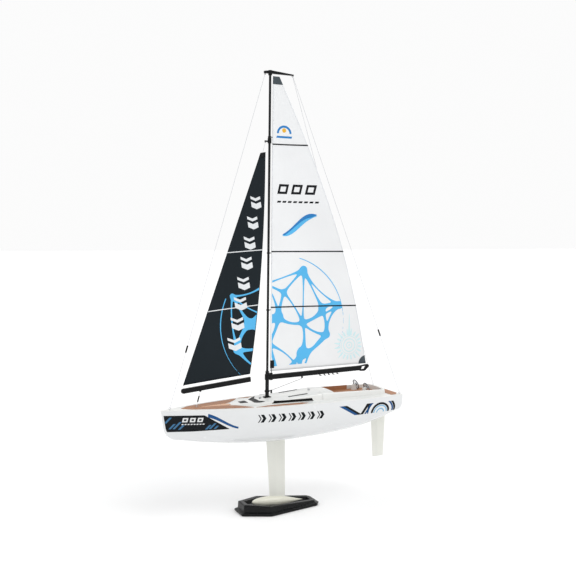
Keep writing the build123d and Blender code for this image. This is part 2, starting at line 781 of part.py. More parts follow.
def masthead_crane():
    """The tapered arm on the mast's top, with an eye at each end."""
    arm = slab([(30, 689), (30, 692.4), (18, 694), (-20.4, 690.6), (-20.4, 689)], -1.5, 1.5)
    arm += on_mast(686.5, 694, 3.0)
    for x, y, z in (CRANE_NOSE, CRANE_TAIL):
        arm += eye(x, y, z, 1.1, 0.4)
    return arm - on_mast(680, MAST_TOP_Z, MAST_R)


def jib_bracket():
    """The clamp on the mast's front that carries the jib's head."""
    x, z = JIB_PIVOT_HIGH.X, JIB_PIVOT_HIGH.Z
    clamp = on_mast(z - 1, z + 7, 3.0) + block(mast_x(z), x + 1, -1, 1, z + 1, z + 3.2)
    clamp += eye(x, 0, z + 0.6, 0.9, 0.35)
    return clamp - on_mast(z - 5, z + 10, MAST_R)


def rigging_eyes():
    """The screw eyes at the bow, at the jib's foot and at the stern."""
    eyes = []
    for x, y in ((BOW_EYE[0], 0), (JIB_PIVOT_LOW.X, 0), STERN_EYE[:2], (STERN_EYE[0], -STERN_EYE[1])):
        eyes.append(eye(x, y, EYE_Z, EYE_R, EYE_WIRE) + upright(x, y, DECK_Z, EYE_Z - EYE_R, 0.5))
    return eyes


def stay_ends(deck_point, mast_point):
    """The two ends of a stay, a little clear of the eyes that it is tied to."""
    low, high = Vector(*deck_point), Vector(*mast_point)
    along = (high - low).normalized()
    return tuple(low + along * 2.0), tuple(high - along * 1.7)


def backstay_ends(side):
    """The two ends of one backstay."""
    x, y, z = STERN_EYE
    return stay_ends((x, side * y, z), (CRANE_TAIL[0], side * STAY_SPREAD, CRANE_TAIL[2]))


STAYS = {
    "forestay": stay_ends(BOW_EYE, CRANE_NOSE),
    "backstay_port": backstay_ends(1),
    "backstay_starboard": backstay_ends(-1),
}


def bowsie(stay, z):
    """A small tensioner threaded on a stay, with its middle at a height."""
    low, high = Vector(*stay[0]), Vector(*stay[1])
    along = (high - low).normalized()
    middle = low + along * ((z - low.Z) / along.Z)
    a, b = tuple(middle - along * 5.5), tuple(middle + along * 5.5)
    return rod(a, b, 1.25) - rod(a, b, LINE_R)


def rigging_bowsies():
    """The tensioner of each stay."""
    heights = {"forestay": 265.5, "backstay_port": 278.5, "backstay_starboard": 278.5}
    return [bowsie(STAYS[name], z) for name, z in heights.items()]


def sheet_fairleads():
    """Two eyelets that the sheets come up through."""
    leads = []
    for x in (38, -48):
        z = roof_z(x) + 0.5
        lead = upright(x, 0, z - 1, z + 2.2, 2.0) - cabin_body()
        leads.append(lead - upright(x, 0, z - 2, z + 3, 1.1))
    return leads


# ---- Main boom and mainsail ---------------------------------------------------------


def boom_z(x):
    """The height of the main boom's middle line."""
    share = (BOOM_FRONT[0] - x) / (BOOM_FRONT[0] - BOOM_END[0])
    return BOOM_FRONT[1] + share * (BOOM_END[1] - BOOM_FRONT[1])


def main_boom():
    """The boom with its collar, the sheet hooks, the vang hook and the end loop."""
    bar_end = BOOM_END[0] + 18
    boom = bar(BOOM_FRONT, (bar_end, boom_z(bar_end)), BOOM_DEPTH, BOOM_WIDTH)
    boom += on_mast(209.2, 217.8, COLLAR_R) + block(17.2, 21.2, -2.4, 2.4, 208.2, 219.6)
    for k in range(5):
        x = BOOM_HOOK_X - BOOM_HOOK_PITCH * k
        low = boom_z(x) - BOOM_DEPTH / 2
        boom += slab([(x, low + 1), (x - 1.3, low + 1), (x - 1.3, low - 1.2), (x - 3.4, low - 2.2),
                      (x - 3.4, low - 3.2), (x, low - 2.4)], -0.8, 0.8)
    hook_top = boom_z(VANG_HIGH[0]) - BOOM_DEPTH / 2 + 1
    boom += block(VANG_HIGH[0] - 1.2, VANG_HIGH[0] + 1.2, -0.9, 0.9, VANG_HIGH[2] + 0.6, hook_top)
    x, z = BOOM_END
    loop = slab([(x + 20, z + 3.2), (x + 3, z + 5.3), (x - 0.2, z + 3.6), (x, z + 1.2), (x + 6, z - 4.4),
                 (x + 9, z - 5.9), (x + 16.5, z - 5.6), (x + 20, z - 3.8)], -1.6, 1.6)
    loop -= slab([(x + 13.4, z + 1.9), (x + 5.6, z + 2.8), (x + 8.6, z - 2.4), (x + 15.6, z - 3.2)], -3, 3)
    return boom + loop - on_mast(200, 225, SLEEVE_R + RUN_GAP)


def vang_collar():
    """The ring round the mast's foot that the vang pulls on."""
    ring = on_mast(189.4, 192.2, COLLAR_R) + block(19, 22.6, -0.7, 0.7, 190.2, 191.4)
    clip = block(17.4, 19.8, -0.9, 0.9, 186.9, 192.3)
    return ring + clip - on_mast(180, 200, SLEEVE_R + RUN_GAP)


def vang_line():
    """The line from the collar to the boom's hook."""
    return rod((17.2, 0, 191.8), VANG_HIGH, LINE_R)


def flat_cloth(edges, low, high):
    """A panel of cloth between two distances from the centre plane."""
    panel = Solid.extrude(Face(Wire(edges)), Vector(0, high - low, 0))
    return panel.moved(Location((0, low, 0)))


def line_xz(a, b):
    """A straight edge between two points of the XZ plane."""
    return Edge.make_line(Vector(a[0], 0, a[1]), Vector(b[0], 0, b[1]))


def luff_x(z):
    """Where the mainsail's luff is at one height."""
    return mast_x(z) - LUFF_GAP


def mainsail_edges():
    """The mainsail's outline: head, round leech, foot and straight luff."""
    throat = (luff_x(HEAD_TOP_Z), HEAD_TOP_Z)
    head = (throat[0] - HEAD_WIDTH, HEAD_TOP_Z)
    tack = (luff_x(TACK_Z), TACK_Z)
    leech = [head, *LEECH, CLEW]
    return [
        line_xz(throat, head),
        Edge.make_spline([Vector(x, 0, z) for x, z in leech]),
        line_xz(CLEW, tack),
        line_xz(tack, throat),
    ]


def mainsail(low=-CLOTH / 2, high=CLOTH / 2):
    """The mainsail's cloth, or a thin layer on one of its faces."""
    return flat_cloth(mainsail_edges(), low, high)


def on_faces(prism, sail):
    """What a prism marks off on both faces of a sail."""
    layer = sail(CLOTH / 2, CLOTH / 2 + TAPE)
    return both_sides(layer & prism)


def mainsail_battens():
    """Three battens across the cloth, on both faces."""
    strips = []
    for (x, z), front in zip(LEECH, BATTEN_FRONTS):
        corners = [(x - 3, z - 1.1), (luff_x(z), front - 1.1), (luff_x(z), front + 1.1), (x - 3, z + 1.1)]
        strips += on_faces(slab(corners, -2, 2), mainsail)
    return strips


def mainsail_patches():
    """The reinforced head, tack and clew, on both faces."""
    head = block(-20, 40, -2, 2, HEAD_TOP_Z - 12, HEAD_TOP_Z)
    tack = block(luff_x(TACK_Z) - 7, 40, -2, 2, TACK_Z + 5, TACK_Z + 17.5)
    x, z = CLEW
    clew = slab([(x - 8, z - 8), (x + 14.5, z - 8), (x + 13, z + 5.5), (x + 8.5, z + 10.5), (x + 1, z + 14.5),
                 (x - 8, z + 15)], -2, 2)
    return [on_faces(patch, mainsail) for patch in (head, tack, clew)]


def luff_rings():
    """The rings that hold the luff to the mast."""
    rings = []
    for z in LUFF_RINGS:
        ring = on_mast(z, z + 2, 2.7) + block(luff_x(z), mast_x(z), -0.6, 0.6, z + 0.4, z + 1.6)
        rings.append(ring - on_mast(z - 5, z + 5, MAST_R + RUN_GAP))
    return rings


# ---- Jib ----------------------------------------------------------------------------


def on_jib_axis(z):
    """A point on the line that the jib swings about."""
    share = (z - JIB_PIVOT_LOW.Z) / (JIB_PIVOT_HIGH.Z - JIB_PIVOT_LOW.Z)
    return tuple(JIB_PIVOT_LOW + (JIB_PIVOT_HIGH - JIB_PIVOT_LOW) * share)


def jib_boom():
    """The jib's boom with its front knob and the lug that it hangs on."""
    boom = bar(JIB_BOOM_FRONT, JIB_BOOM_REAR, JIB_BOOM_DEPTH, 4.0)
    boom += Pos(JIB_BOOM_FRONT[0], 0, JIB_BOOM_FRONT[1]) * Sphere(4.0)
    x, _, z = on_jib_axis(199)
    return boom + block(x - 1.6, x + 1.6, -1, 1, z, z + 4)


def jib_sail(low=-CLOTH / 2, high=CLOTH / 2):
    """The jib's cloth, or a thin layer on one of its faces."""
    leech = [JIB_HEAD_REAR, *JIB_LEECH, JIB_CLEW]
    edges = [
        line_xz(JIB_HEAD_FRONT, JIB_HEAD_REAR),
        Edge.make_spline([Vector(x, 0, z) for x, z in leech]),
        line_xz(JIB_CLEW, JIB_TACK),
        line_xz(JIB_TACK, JIB_HEAD_FRONT),
    ]
    return flat_cloth(edges, low, high)


def jib_battens():
    """Two pale battens across the jib, on both faces."""
    strips = []
    for (x0, z0), (x1, z1) in JIB_BATTENS:
        prism = slab([(x0, z0 - 0.9), (x0, z0 + 0.9), (x1 - 3, z1 + 1.1), (x1 - 3, z1 - 0.7)], -2, 2)
        strips += on_faces(prism, jib_sail)
    return strips


def jib_head_cap():
    """The black cap on the jib's head, on both faces."""
    return on_faces(block(20, 45, -2, 2, 558.5, 570), jib_sail)


def jib_lines():
    """The line and hook from the deck eye to the jib boom, and the line above the jib's head."""
    link = rod(on_jib_axis(180.4), on_jib_axis(198.8), LINE_R)
    link += rod(on_jib_axis(183.5), on_jib_axis(192.6), 1.1)
    return [link, rod(on_jib_axis(568.2), on_jib_axis(581.0), LINE_R)]


# ---- Writing the nodes --------------------------------------------------------------


def main():
    os.makedirs("parts", exist_ok=True)
    outside = hull_body()
    inside = hull_inside()
    fin = keel_fin(outside)

    save("stand_base", stand_base())
    save("hull_shell", hull_shell(outside, inside))
    save("deck_moulding", deck_moulding())
    save("foredeck_teak", foredeck_teak())
    save("foredeck_centre_plank", foredeck_centre_plank())
    save("side_deck_teak", side_deck_teak())
    save("aft_deck_teak", aft_deck_teak())
    save("cabin_windows", cabin_windows())
    save("roof_stripes", roof_stripes())
    save("foredeck_hatch", foredeck_hatch())
    save("cockpit_cover", cockpit_cover())
    save("cockpit_teak", cockpit_teak())
    save("wheel_pedestals", pedestal(1), pedestal(-1))
    save("steering_wheel_port", steering_wheel(1))
    save("steering_wheel_starboard", steering_wheel(-1))

    save("keel_fin", fin)
    save("keel_bulb", keel_bulb(fin))
    save("ballast_weight", ballast_weight(fin))
    save("keel_trunk", keel_trunk(inside))
    save("keel_bolt", keel_bolt())

    save("rudder_tube", rudder_tube())
    save("rudder_stock", rudder_stock())
    save("rudder_blade", rudder_blade())
    save("tiller_arm", lever(RUDDER_X, HORN_Z, RUDDER_STOCK_R))
    save("pushrod", pushrod())
    save("rudder_servo", drilled(servo((RUDDER_SERVO_X, 0), **RUDDER_SERVO)))
    save("servo_horn", lever(RUDDER_SERVO_X, HORN_Z, RUDDER_SERVO["spline_r"] + RUN_GAP))
    save("sail_servo", drilled(servo(SAIL_SERVO_AXIS, **SAIL_SERVO)))
    save("sail_arm", sail_arm())
    save("servo_tray", servo_tray(inside))
    save("servo_screws", servo_screws())
    save("receiver_box", receiver_box())
    save("battery_box", battery_box())
    save("battery_cells", battery_cells())
    save("battery_lid", battery_lid())
    save("switch_body", switch_body())
    save("switch_slider", switch_slider())

    save("mast_step", mast_step())
    save("mast_lower_sleeve", mast_lower_sleeve())
    save("mast_tube", mast_tube())
    save("masthead_crane", masthead_crane())
    save("jib_bracket", jib_bracket())
    save("rigging_eyes", rigging_eyes())
    for name, (low, high) in STAYS.items():
        save(name, rod(low, high, LINE_R))
    save("rigging_bowsies", rigging_bowsies())
    save("sheet_fairleads", sheet_fairleads())

    save("main_boom", main_boom())
    save("vang_collar", vang_collar())
    save("vang_line", vang_line())
    save("mainsail", mainsail())
    save("mainsail_battens", mainsail_battens())
    save("mainsail_patches", mainsail_patches())
    save("luff_rings", luff_rings())

    save("jib_boom", jib_boom())
    save("jib_sail", jib_sail())
    save("jib_battens", jib_battens())
    save("jib_head_cap", jib_head_cap())
    save("jib_lines", jib_lines())


main()
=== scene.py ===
import json
import math

import bpy
import numpy as np
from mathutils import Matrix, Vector
from mathutils.bvhtree import BVHTree


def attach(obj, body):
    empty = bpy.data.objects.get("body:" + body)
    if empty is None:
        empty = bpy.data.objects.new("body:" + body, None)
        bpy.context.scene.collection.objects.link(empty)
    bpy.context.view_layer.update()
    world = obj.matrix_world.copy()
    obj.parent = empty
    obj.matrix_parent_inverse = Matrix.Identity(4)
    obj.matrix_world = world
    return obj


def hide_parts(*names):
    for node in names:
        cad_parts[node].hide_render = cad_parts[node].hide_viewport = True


# A remote-controlled sailboat on its stand. Places below are in millimetres in the CAD
# frame (+X bow, +Y port, +Z up) and turn into metres where a mesh is made.
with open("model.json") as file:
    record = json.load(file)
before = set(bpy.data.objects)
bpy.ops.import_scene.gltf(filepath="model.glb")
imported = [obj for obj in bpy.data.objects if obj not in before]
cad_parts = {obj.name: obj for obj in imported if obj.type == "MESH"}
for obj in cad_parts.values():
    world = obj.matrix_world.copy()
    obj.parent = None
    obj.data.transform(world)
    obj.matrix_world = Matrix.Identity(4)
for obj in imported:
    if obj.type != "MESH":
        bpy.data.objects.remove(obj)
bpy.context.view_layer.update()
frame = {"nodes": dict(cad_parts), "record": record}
NODES = frame["nodes"]
MM = 0.001

# ---- Driving sizes ------------------------------------------------------------------

MAST_X = 26.04  # the mast's axis at its foot
MAST_RAKE = 0.0124  # how far the mast leans aft for each millimetre of height
MAST_FOOT_Z = 181.2
LUFF_GAP = 4.9  # the luff is this far behind the mast's axis
TACK_Z = 222.0
HEAD_Z = 685.5
MAIN_LEECH = [(3.9, 685.5), (-46.0, 581.5), (-111.4, 412.0), (-136.0, 322.0), (-155.5, 223.6)]
MAIN_BATTENS = [(581.5, 580.5), (412.0, 412.2), (322.0, 324.0)]  # heights at the leech and the luff
MAIN_BATTEN_HALF = 1.0  # half a batten's width
MAIN_HEMS = (2.4, 1.6)  # widths of the tapes along the luff and the leech
HEAD_PATCH = 12.0  # height of the dark head patch
TACK_PATCH = (7.0, 5.0, 17.5)  # width of the tack patch, and its bottom and top over the tack
TACK_TIE = (2.1, 0.8, 2.2)  # the tie's distance behind the luff, its width and its drop under the tack
CLEW_PATCH = 14.0  # radius of the clew patch

JIB_TACK = (164.8, 210.4)
JIB_CLEW = (55.1, 220.2)
JIB_HEAD = (36.4, 566.0)
JIB_LEECH = [(28.0, 567.5), (33.5, 415.0), (40.8, 328.6), JIB_CLEW]
JIB_BATTENS = [((92.7, 410.8), (33.7, 415.0)), ((124.2, 321.0), (41.4, 328.6))]  # each one's two ends
JIB_BATTEN_HALF = 0.7
JIB_HEM = 2.2  # width of the tape along the luff
JIB_CAP = 8.5  # height of the dark head patch

BELLY = 0.042  # scales the sails' camber, as a share of the chord

CLOTH = 0.2  # half the cloth's thickness
INK = 0.27  # half the thickness of the cloth with a print on both faces
OVERPRINT = INK + 0.05  # the same with a second print over the first
HEM = 0.34  # the same with a hem's or a luff's tape on both faces
BAND = 0.46  # the same with a batten's or a patch's tape on both faces
FILM_ROOT = -0.05  # where the hull's films start, a little inside its surface

LINE = 0.6  # diameter of every line
KNOT = 1.2  # how far each stay ends from the middle of its eye
BOW_EYE = (185.7, 0, 177.2)
STERN_EYE = (-196.0, 41.5, 177.2)
CRANE_NOSE = (28.4, 0, 688.2)
CRANE_TAIL = (-19.0, 0.6, 688.2)
JIB_LOW = (143.6, 0, 177.1)  # the two ends of the line that the jib swings about
JIB_HIGH = (28.2, 0, 582.3)
FOOT_LINE = (180.4, 198.8)  # the heights that the jib's two lines and its clip reach between
HEAD_LINE = (568.2, 581.0)
FOOT_CLIP = (183.5, 192.6)
CLIP_R = 1.1
VANG_LOW = (17.2, 0, 191.8)  # the two ends of the line that holds the boom down
VANG_HIGH = (-36.0, 0, 206.6)

DISC = (-5.0, 297.0, 108.0)  # the printed web's centre and radius, shared by both sails
WEB_HUBS = 15
WEB_STRAND = 0.0075  # half a strand's width away from its hubs, as a share of the disc's radius
WEB_SWELL = 0.11  # how far a hub's swelling reaches along a strand, as a share of the disc's radius
WEB_BLEND = 0.012  # how softly strands flow into each other
SUN = (-124.0, 256.0)  # the sunburst's centre
STERN_TOP_Z = 166.4  # the top and bottom lines of the print near the stern
STERN_FOOT_Z = 149.4
ARCS_X = -156.0  # the middle of the stern's arcs

CAMERA_AT = (526.5, 1141.5, 426.3)
CAMERA_TURN = 25.21  # degrees from straight across the hull
CAMERA_DIP = 3.28
CAMERA_LENS = 49.45
CAMERA_SENSOR = 36
FLOOR_HALF = 40.0  # metres from the middle of the floor to its edge
FLOOR_DROP = 0.2  # how far the floor lies under the stand, so that their faces don't meet
HORIZON = 0.97  # the sky's strength near the horizon and overhead
ZENITH = 0.5


# ---- Node helpers -------------------------------------------------------------------


def new_material(name):
    """A new material with its node tree and its shader."""
    material = bpy.data.materials.new(name)
    material.use_nodes = True
    tree = material.node_tree
    shader = tree.nodes["Principled BSDF"]
    return material, tree, shader


def add(tree, kind, **values):
    """A node with some of its properties or input sockets set."""
    node = tree.nodes.new(kind)
    for key, value in values.items():
        if hasattr(node, key):
            setattr(node, key, value)
        else:
            node.inputs[key.replace("_", " ")].default_value = value
    return node


def coordinates(tree, stretch=(1, 1, 1)):
    """The object's own coordinates, stretched along each axis."""
    where = add(tree, "ShaderNodeTexCoord")
    mapping = add(tree, "ShaderNodeMapping")
    mapping.inputs["Scale"].default_value = stretch
    tree.links.new(where.outputs["Object"], mapping.inputs["Vector"])
    return mapping.outputs["Vector"]


def noise(tree, vector, scale, detail):
    """A noise pattern's value."""
    node = add(tree, "ShaderNodeTexNoise", Scale=scale, Detail=detail)
    tree.links.new(vector, node.inputs["Vector"])
    return node.outputs["Fac"]


def spread(tree, value, low, high):
    """The value, which runs from about 0.3 to 0.7, spread over another range."""
    node = add(tree, "ShaderNodeMapRange")
    node.inputs["From Min"].default_value = 0.3
    node.inputs["From Max"].default_value = 0.7
    node.inputs["To Min"].default_value = low
    node.inputs["To Max"].default_value = high
    tree.links.new(value, node.inputs["Value"])
    return node.outputs["Result"]


def mixed(tree, factor, first, second):
    """A blend of two colours, each a colour or another node's output."""
    node = add(tree, "ShaderNodeMix", data_type="RGBA")
    slots = [s for s in node.inputs if s.type == "RGBA"]
    for socket, colour in zip(slots, (first, second)):
        if isinstance(colour, tuple):
            socket.default_value = (*colour, 1)
        else:
            tree.links.new(colour, socket)
    tree.links.new(factor, node.inputs[0])
    return [s for s in node.outputs if s.type == "RGBA"][0]


def bumped(tree, shader, heights, strength, distance):
    """Adds up height patterns and bends the shader's normal by them."""
    normal = None
    for height in heights:
        bump = add(tree, "ShaderNodeBump", Strength=strength, Distance=distance)
        tree.links.new(height, bump.inputs["Height"])
        if normal is not None:
            tree.links.new(normal, bump.inputs["Normal"])
        normal = bump.outputs["Normal"]
    tree.links.new(normal, shader.inputs["Normal"])


def shade(tone, colour):
    """A colour made darker or lighter."""
    return tuple(min(1.0, c * tone) for c in colour)


# ---- Materials ----------------------------------------------------------------------


def moulded(name, colour, rough, coat=0.0, grain=2500.0, bump=0.12, vary=0.06, shine=0.5):
    """Moulded plastic: slow colour drift, uneven gloss and a fine moulded grain."""
    material, tree, shader = new_material(name)
    vector = coordinates(tree)
    slow = noise(tree, vector, 18, 3)
    fine = noise(tree, vector, grain, 2)
    tint = mixed(tree, spread(tree, slow, 0, 1), shade(1 - vary, colour), shade(1 + vary, colour))
    tree.links.new(tint, shader.inputs["Base Color"])
    smear = noise(tree, vector, 70, 5)
    tree.links.new(spread(tree, smear, rough * 0.8, rough * 1.25), shader.inputs["Roughness"])
    shader.inputs["Specular IOR Level"].default_value = shine
    shader.inputs["Coat Weight"].default_value = coat
    shader.inputs["Coat Roughness"].default_value = 0.12
    bumped(tree, shader, [fine, slow], bump, 0.00015)
    return material


def metal(name, colour, rough, stretch=(1, 1, 1), bump=0.15):
    """Metal with fine drawn marks and uneven polish."""
    material, tree, shader = new_material(name)
    vector = coordinates(tree, stretch)
    marks = noise(tree, vector, 900, 3)
    slow = noise(tree, vector, 40, 3)
    tint = mixed(tree, spread(tree, slow, 0, 1), shade(0.9, colour), shade(1.06, colour))
    tree.links.new(tint, shader.inputs["Base Color"])
    tree.links.new(spread(tree, marks, rough * 0.7, rough * 1.4), shader.inputs["Roughness"])
    shader.inputs["Metallic"].default_value = 1.0
    bumped(tree, shader, [marks], bump, 0.0001)
    return material


def weave_height(tree, pitch):
    """The height of a plain weave in the sail's plane."""
    vector = coordinates(tree)
    parts = add(tree, "ShaderNodeSeparateXYZ")
    tree.links.new(vector, parts.inputs["Vector"])
    waves = []
    for axis in ("X", "Z"):
        scaled = add(tree, "ShaderNodeMath", operation="MULTIPLY")
        scaled.inputs[1].default_value = 2 * math.pi / pitch
        tree.links.new(parts.outputs[axis], scaled.inputs[0])
        wave = add(tree, "ShaderNodeMath", operation="SINE")
        tree.links.new(scaled.outputs[0], wave.inputs[0])
        waves.append(wave.outputs[0])
    product = add(tree, "ShaderNodeMath", operation="MULTIPLY")
    tree.links.new(waves[0], product.inputs[0])
    tree.links.new(waves[1], product.inputs[1])
    return product.outputs[0]


def cloth(name, colour, rough=0.5, sheen=0.25, pitch=0.0009, vary=0.04, shine=0.3):
    """Fine sailcloth: a plain weave, soft creases and a slight drift of tone."""
    material, tree, shader = new_material(name)
    vector = coordinates(tree)
    slow = noise(tree, vector, 9, 4)
    creases = noise(tree, coordinates(tree, (1, 1, 0.35)), 26, 5)
    tint = mixed(tree, spread(tree, slow, 0, 1), shade(1 - vary, colour), shade(1 + vary, colour))
    tree.links.new(tint, shader.inputs["Base Color"])
    tree.links.new(spread(tree, creases, rough * 0.85, rough * 1.15), shader.inputs["Roughness"])
    shader.inputs["Specular IOR Level"].default_value = shine
    shader.inputs["Sheen Weight"].default_value = sheen
    shader.inputs["Sheen Roughness"].default_value = 0.4
    bumped(tree, shader, [weave_height(tree, pitch), creases], 0.1, 0.0004)
    return material


def teak(name, wood, caulk, plank=3.4):
    """Planking along the hull: grain, a tone for each plank and dark caulking."""
    material, tree, shader = new_material(name)
    vector = coordinates(tree)
    parts = add(tree, "ShaderNodeSeparateXYZ")
    tree.links.new(vector, parts.inputs["Vector"])
    scaled = add(tree, "ShaderNodeMath", operation="MULTIPLY")
    scaled.inputs[1].default_value = 1 / (plank * MM)
    tree.links.new(parts.outputs["Y"], scaled.inputs[0])
    across = add(tree, "ShaderNodeMath", operation="FRACT")
    tree.links.new(scaled.outputs[0], across.inputs[0])
    seam = add(tree, "ShaderNodeMath", operation="LESS_THAN")
    seam.inputs[1].default_value = 0.13
    tree.links.new(across.outputs[0], seam.inputs[0])
    number = add(tree, "ShaderNodeMath", operation="FLOOR")
    tree.links.new(scaled.outputs[0], number.inputs[0])
    tone = add(tree, "ShaderNodeTexWhiteNoise", noise_dimensions="1D")
    tree.links.new(number.outputs[0], tone.inputs["W"])
    grain = noise(tree, coordinates(tree, (0.06, 1, 1)), 2600, 5)
    dark, light = shade(0.72, wood), shade(1.22, wood)
    streaks = mixed(tree, spread(tree, grain, 0, 1), dark, light)
    planks = mixed(tree, tone.outputs["Value"], streaks, wood)
    whole = mixed(tree, seam.outputs[0], planks, caulk)
    tree.links.new(whole, shader.inputs["Base Color"])
    tree.links.new(spread(tree, grain, 0.42, 0.62), shader.inputs["Roughness"])
    lowered = add(tree, "ShaderNodeMath", operation="SUBTRACT")
    lowered.inputs[0].default_value = 1.0
    tree.links.new(seam.outputs[0], lowered.inputs[1])
    bumped(tree, shader, [lowered.outputs[0], grain], 0.25, 0.0002)
    return material


def braid(name, colour):
    """A thin braided line."""
    material, tree, shader = new_material(name)
    vector = coordinates(tree)
    strands = add(tree, "ShaderNodeTexWave", bands_direction="DIAGONAL", Scale=700.0, Distortion=1.5)
    tree.links.new(vector, strands.inputs["Vector"])
    tint = mixed(tree, strands.outputs["Fac"], shade(0.8, colour), colour)
    tree.links.new(tint, shader.inputs["Base Color"])
    tree.links.new(spread(tree, strands.outputs["Fac"], 0.5, 0.6), shader.inputs["Roughness"])
    bumped(tree, shader, [strands.outputs["Fac"]], 0.3, 0.0001)
    return material


# The hull's white, set darker than the deck's and the sails' white: painted shade for the hull's sides,
# which face away from the light. The white film on the hull shares it.
HULL_WHITE_WITH_PAINTED_SHADE = (0.730, 0.742, 0.748)
SKY = (0.085, 0.44, 0.78)
BLUE = (0.006, 0.070, 0.22)
STEEL_BLUE = (0.045, 0.155, 0.30)
BLACK = (0.008, 0.009, 0.011)
CHARCOAL = (0.011, 0.016, 0.020)
TEAK = (0.42, 0.185, 0.085)

MATERIALS = {
    "stand_black": moulded("stand_black", (0.0045, 0.005, 0.0055), 0.26, coat=0.05, bump=0.06, shine=0.16),
    # painted shade: the hull's white is darkened for its sides
    "hull_white": moulded("hull_white", HULL_WHITE_WITH_PAINTED_SHADE, 0.22, coat=0.4, bump=0.03, vary=0.015),
    "deck_white": moulded("deck_white", (0.76, 0.765, 0.745), 0.36, coat=0.2, bump=0.05, vary=0.02),
    "teak": teak("teak", TEAK, (0.10, 0.05, 0.03)),
    "teak_pale": teak("teak_pale", (0.68, 0.42, 0.27), (0.40, 0.23, 0.14), plank=2.4),
    "dark_trim": moulded("dark_trim", (0.005, 0.0055, 0.006), 0.4, bump=0.02, shine=0.1),
    "wheel_chrome": metal("wheel_chrome", (0.20, 0.21, 0.23), 0.16),
    "fin_white": moulded("fin_white", (0.74, 0.745, 0.69), 0.4, bump=0.06, vary=0.03),
    "bulb_cream": moulded("bulb_cream", (0.76, 0.75, 0.64), 0.25, coat=0.4, bump=0.04, vary=0.03),
    "ballast_iron": metal("ballast_iron", (0.12, 0.12, 0.12), 0.6),
    "steel": metal("steel", (0.55, 0.56, 0.58), 0.25, (1, 6, 1)),
    "brass_tube": metal("brass_tube", (0.62, 0.42, 0.14), 0.25, (6, 6, 1)),
    "rig_black": moulded("rig_black", (0.005, 0.0055, 0.006), 0.36, bump=0.16, vary=0.12, shine=0.16),
    "mast_black": moulded("mast_black", (0.005, 0.006, 0.007), 0.3, coat=0.04, bump=0.08, shine=0.18),
    "line_white": braid("line_white", (0.60, 0.62, 0.65)),
    "line_black": braid("line_black", (0.05, 0.05, 0.055)),
    "sail_white": cloth("sail_white", (0.79, 0.80, 0.81)),
    "sail_dark": cloth("sail_dark", CHARCOAL, sheen=0.0, vary=0.12, shine=0.10),
    "tape_black": cloth("tape_black", BLACK, sheen=0.0, pitch=0.0006, shine=0.15),
    "patch_grey": cloth("patch_grey", (0.062, 0.078, 0.089), sheen=0.0, pitch=0.0006, shine=0.15),
    "tape_white": cloth("tape_white", (0.78, 0.80, 0.82), pitch=0.0006),
    "gear_black": moulded("gear_black", (0.02, 0.02, 0.022), 0.45, bump=0.2),
    "gear_white": moulded("gear_white", (0.72, 0.72, 0.70), 0.45, bump=0.1),
    "tray_grey": moulded("tray_grey", (0.35, 0.36, 0.38), 0.45, bump=0.2),
    "cell_silver": metal("cell_silver", (0.45, 0.47, 0.5), 0.3),
    "switch_red": moulded("switch_red", (0.5, 0.02, 0.015), 0.4, bump=0.1),
    "ink_sky": cloth("ink_sky", SKY, sheen=0.1, vary=0.08),
    "ink_blue": cloth("ink_blue", (0.015, 0.19, 0.50), sheen=0.1, vary=0.08),
    "ink_faint": cloth("ink_faint", (0.60, 0.79, 0.82), sheen=0.1),
    "ink_dark": cloth("ink_dark", BLACK, sheen=0.0, vary=0.1, shine=0.12),
    "ink_white": cloth("ink_white", (0.74, 0.76, 0.78), sheen=0.1),
    "ink_amber": cloth("ink_amber", (0.78, 0.42, 0.03), sheen=0.1),
    "film_black": moulded("film_black", (0.004, 0.006, 0.008), 0.3, bump=0.03, shine=0.14),
    "film_blue": moulded("film_blue", BLUE, 0.25, coat=0.1, bump=0.03, shine=0.2),
    "film_steel_blue": moulded("film_steel_blue", STEEL_BLUE, 0.3, bump=0.03, shine=0.25),
    "film_sky": moulded("film_sky", (0.20, 0.45, 0.66), 0.25, coat=0.2, bump=0.03),
    "film_white": moulded("film_white", HULL_WHITE_WITH_PAINTED_SHADE, 0.22, coat=0.4, bump=0.03),
}


def paint_cad_nodes():
    """Gives every CAD node the procedural material of its slot."""
    for part in frame["record"]["subparts"]:
        node = NODES[part["node"]]
        for place in node.material_slots:
            place.material = MATERIALS[part["material_slot"]]


# ---- Meshes laid on a surface -------------------------------------------------------


def finish_piece(name, verts, faces, material, body):
    """A mesh piece in metres, with its material, body and slot."""
    mesh = bpy.data.meshes.new(name)
    mesh.from_pydata([tuple(c * MM for c in v) for v in verts], [], faces)
    mesh.validate()
    mesh.update()
    mesh.polygons.foreach_set("use_smooth", [True] * len(mesh.polygons))
    piece = bpy.data.objects.new(name, mesh)
    bpy.context.scene.collection.objects.link(piece)
    piece.data.materials.append(MATERIALS[material])
    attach(piece, body)
    return piece


def rim_of(faces):
    """The directed edges that only one face has."""
    edges = {(a, b) for f in faces for a, b in zip(f, f[1:] + f[:1])}
    return [e for e in edges if (e[1], e[0]) not in edges]


def closed_layer(points, faces, place, low, high):
    """Vertices and faces of a thin closed layer over a flat outline mesh."""
    count = len(points)
    verts = [place(x, z, high) for x, z in points] + [place(x, z, low) for x, z in points]
    sides = [(b, a, a + count, b + count) for a, b in sorted(rim_of(faces))]
    under = [tuple(i + count for i in reversed(f)) for f in faces]
    return verts, list(faces) + under + sides


def grid(edges, across, up):
    """A flat mesh between a left and a right edge, each given by a function of height."""
    left, right = edges
    points = []
    for j in range(up + 1):
        a, b = left(j / up), right(j / up)
        for i in range(across + 1):
            t = i / across
            points.append((a[0] + (b[0] - a[0]) * t, a[1] + (b[1] - a[1]) * t))
    width = across + 1
    faces = []
    for j in range(up):
        for i in range(across):
            k = j * width + i
            faces.append((k, k + 1, k + 1 + width, k + width))
    return points, faces


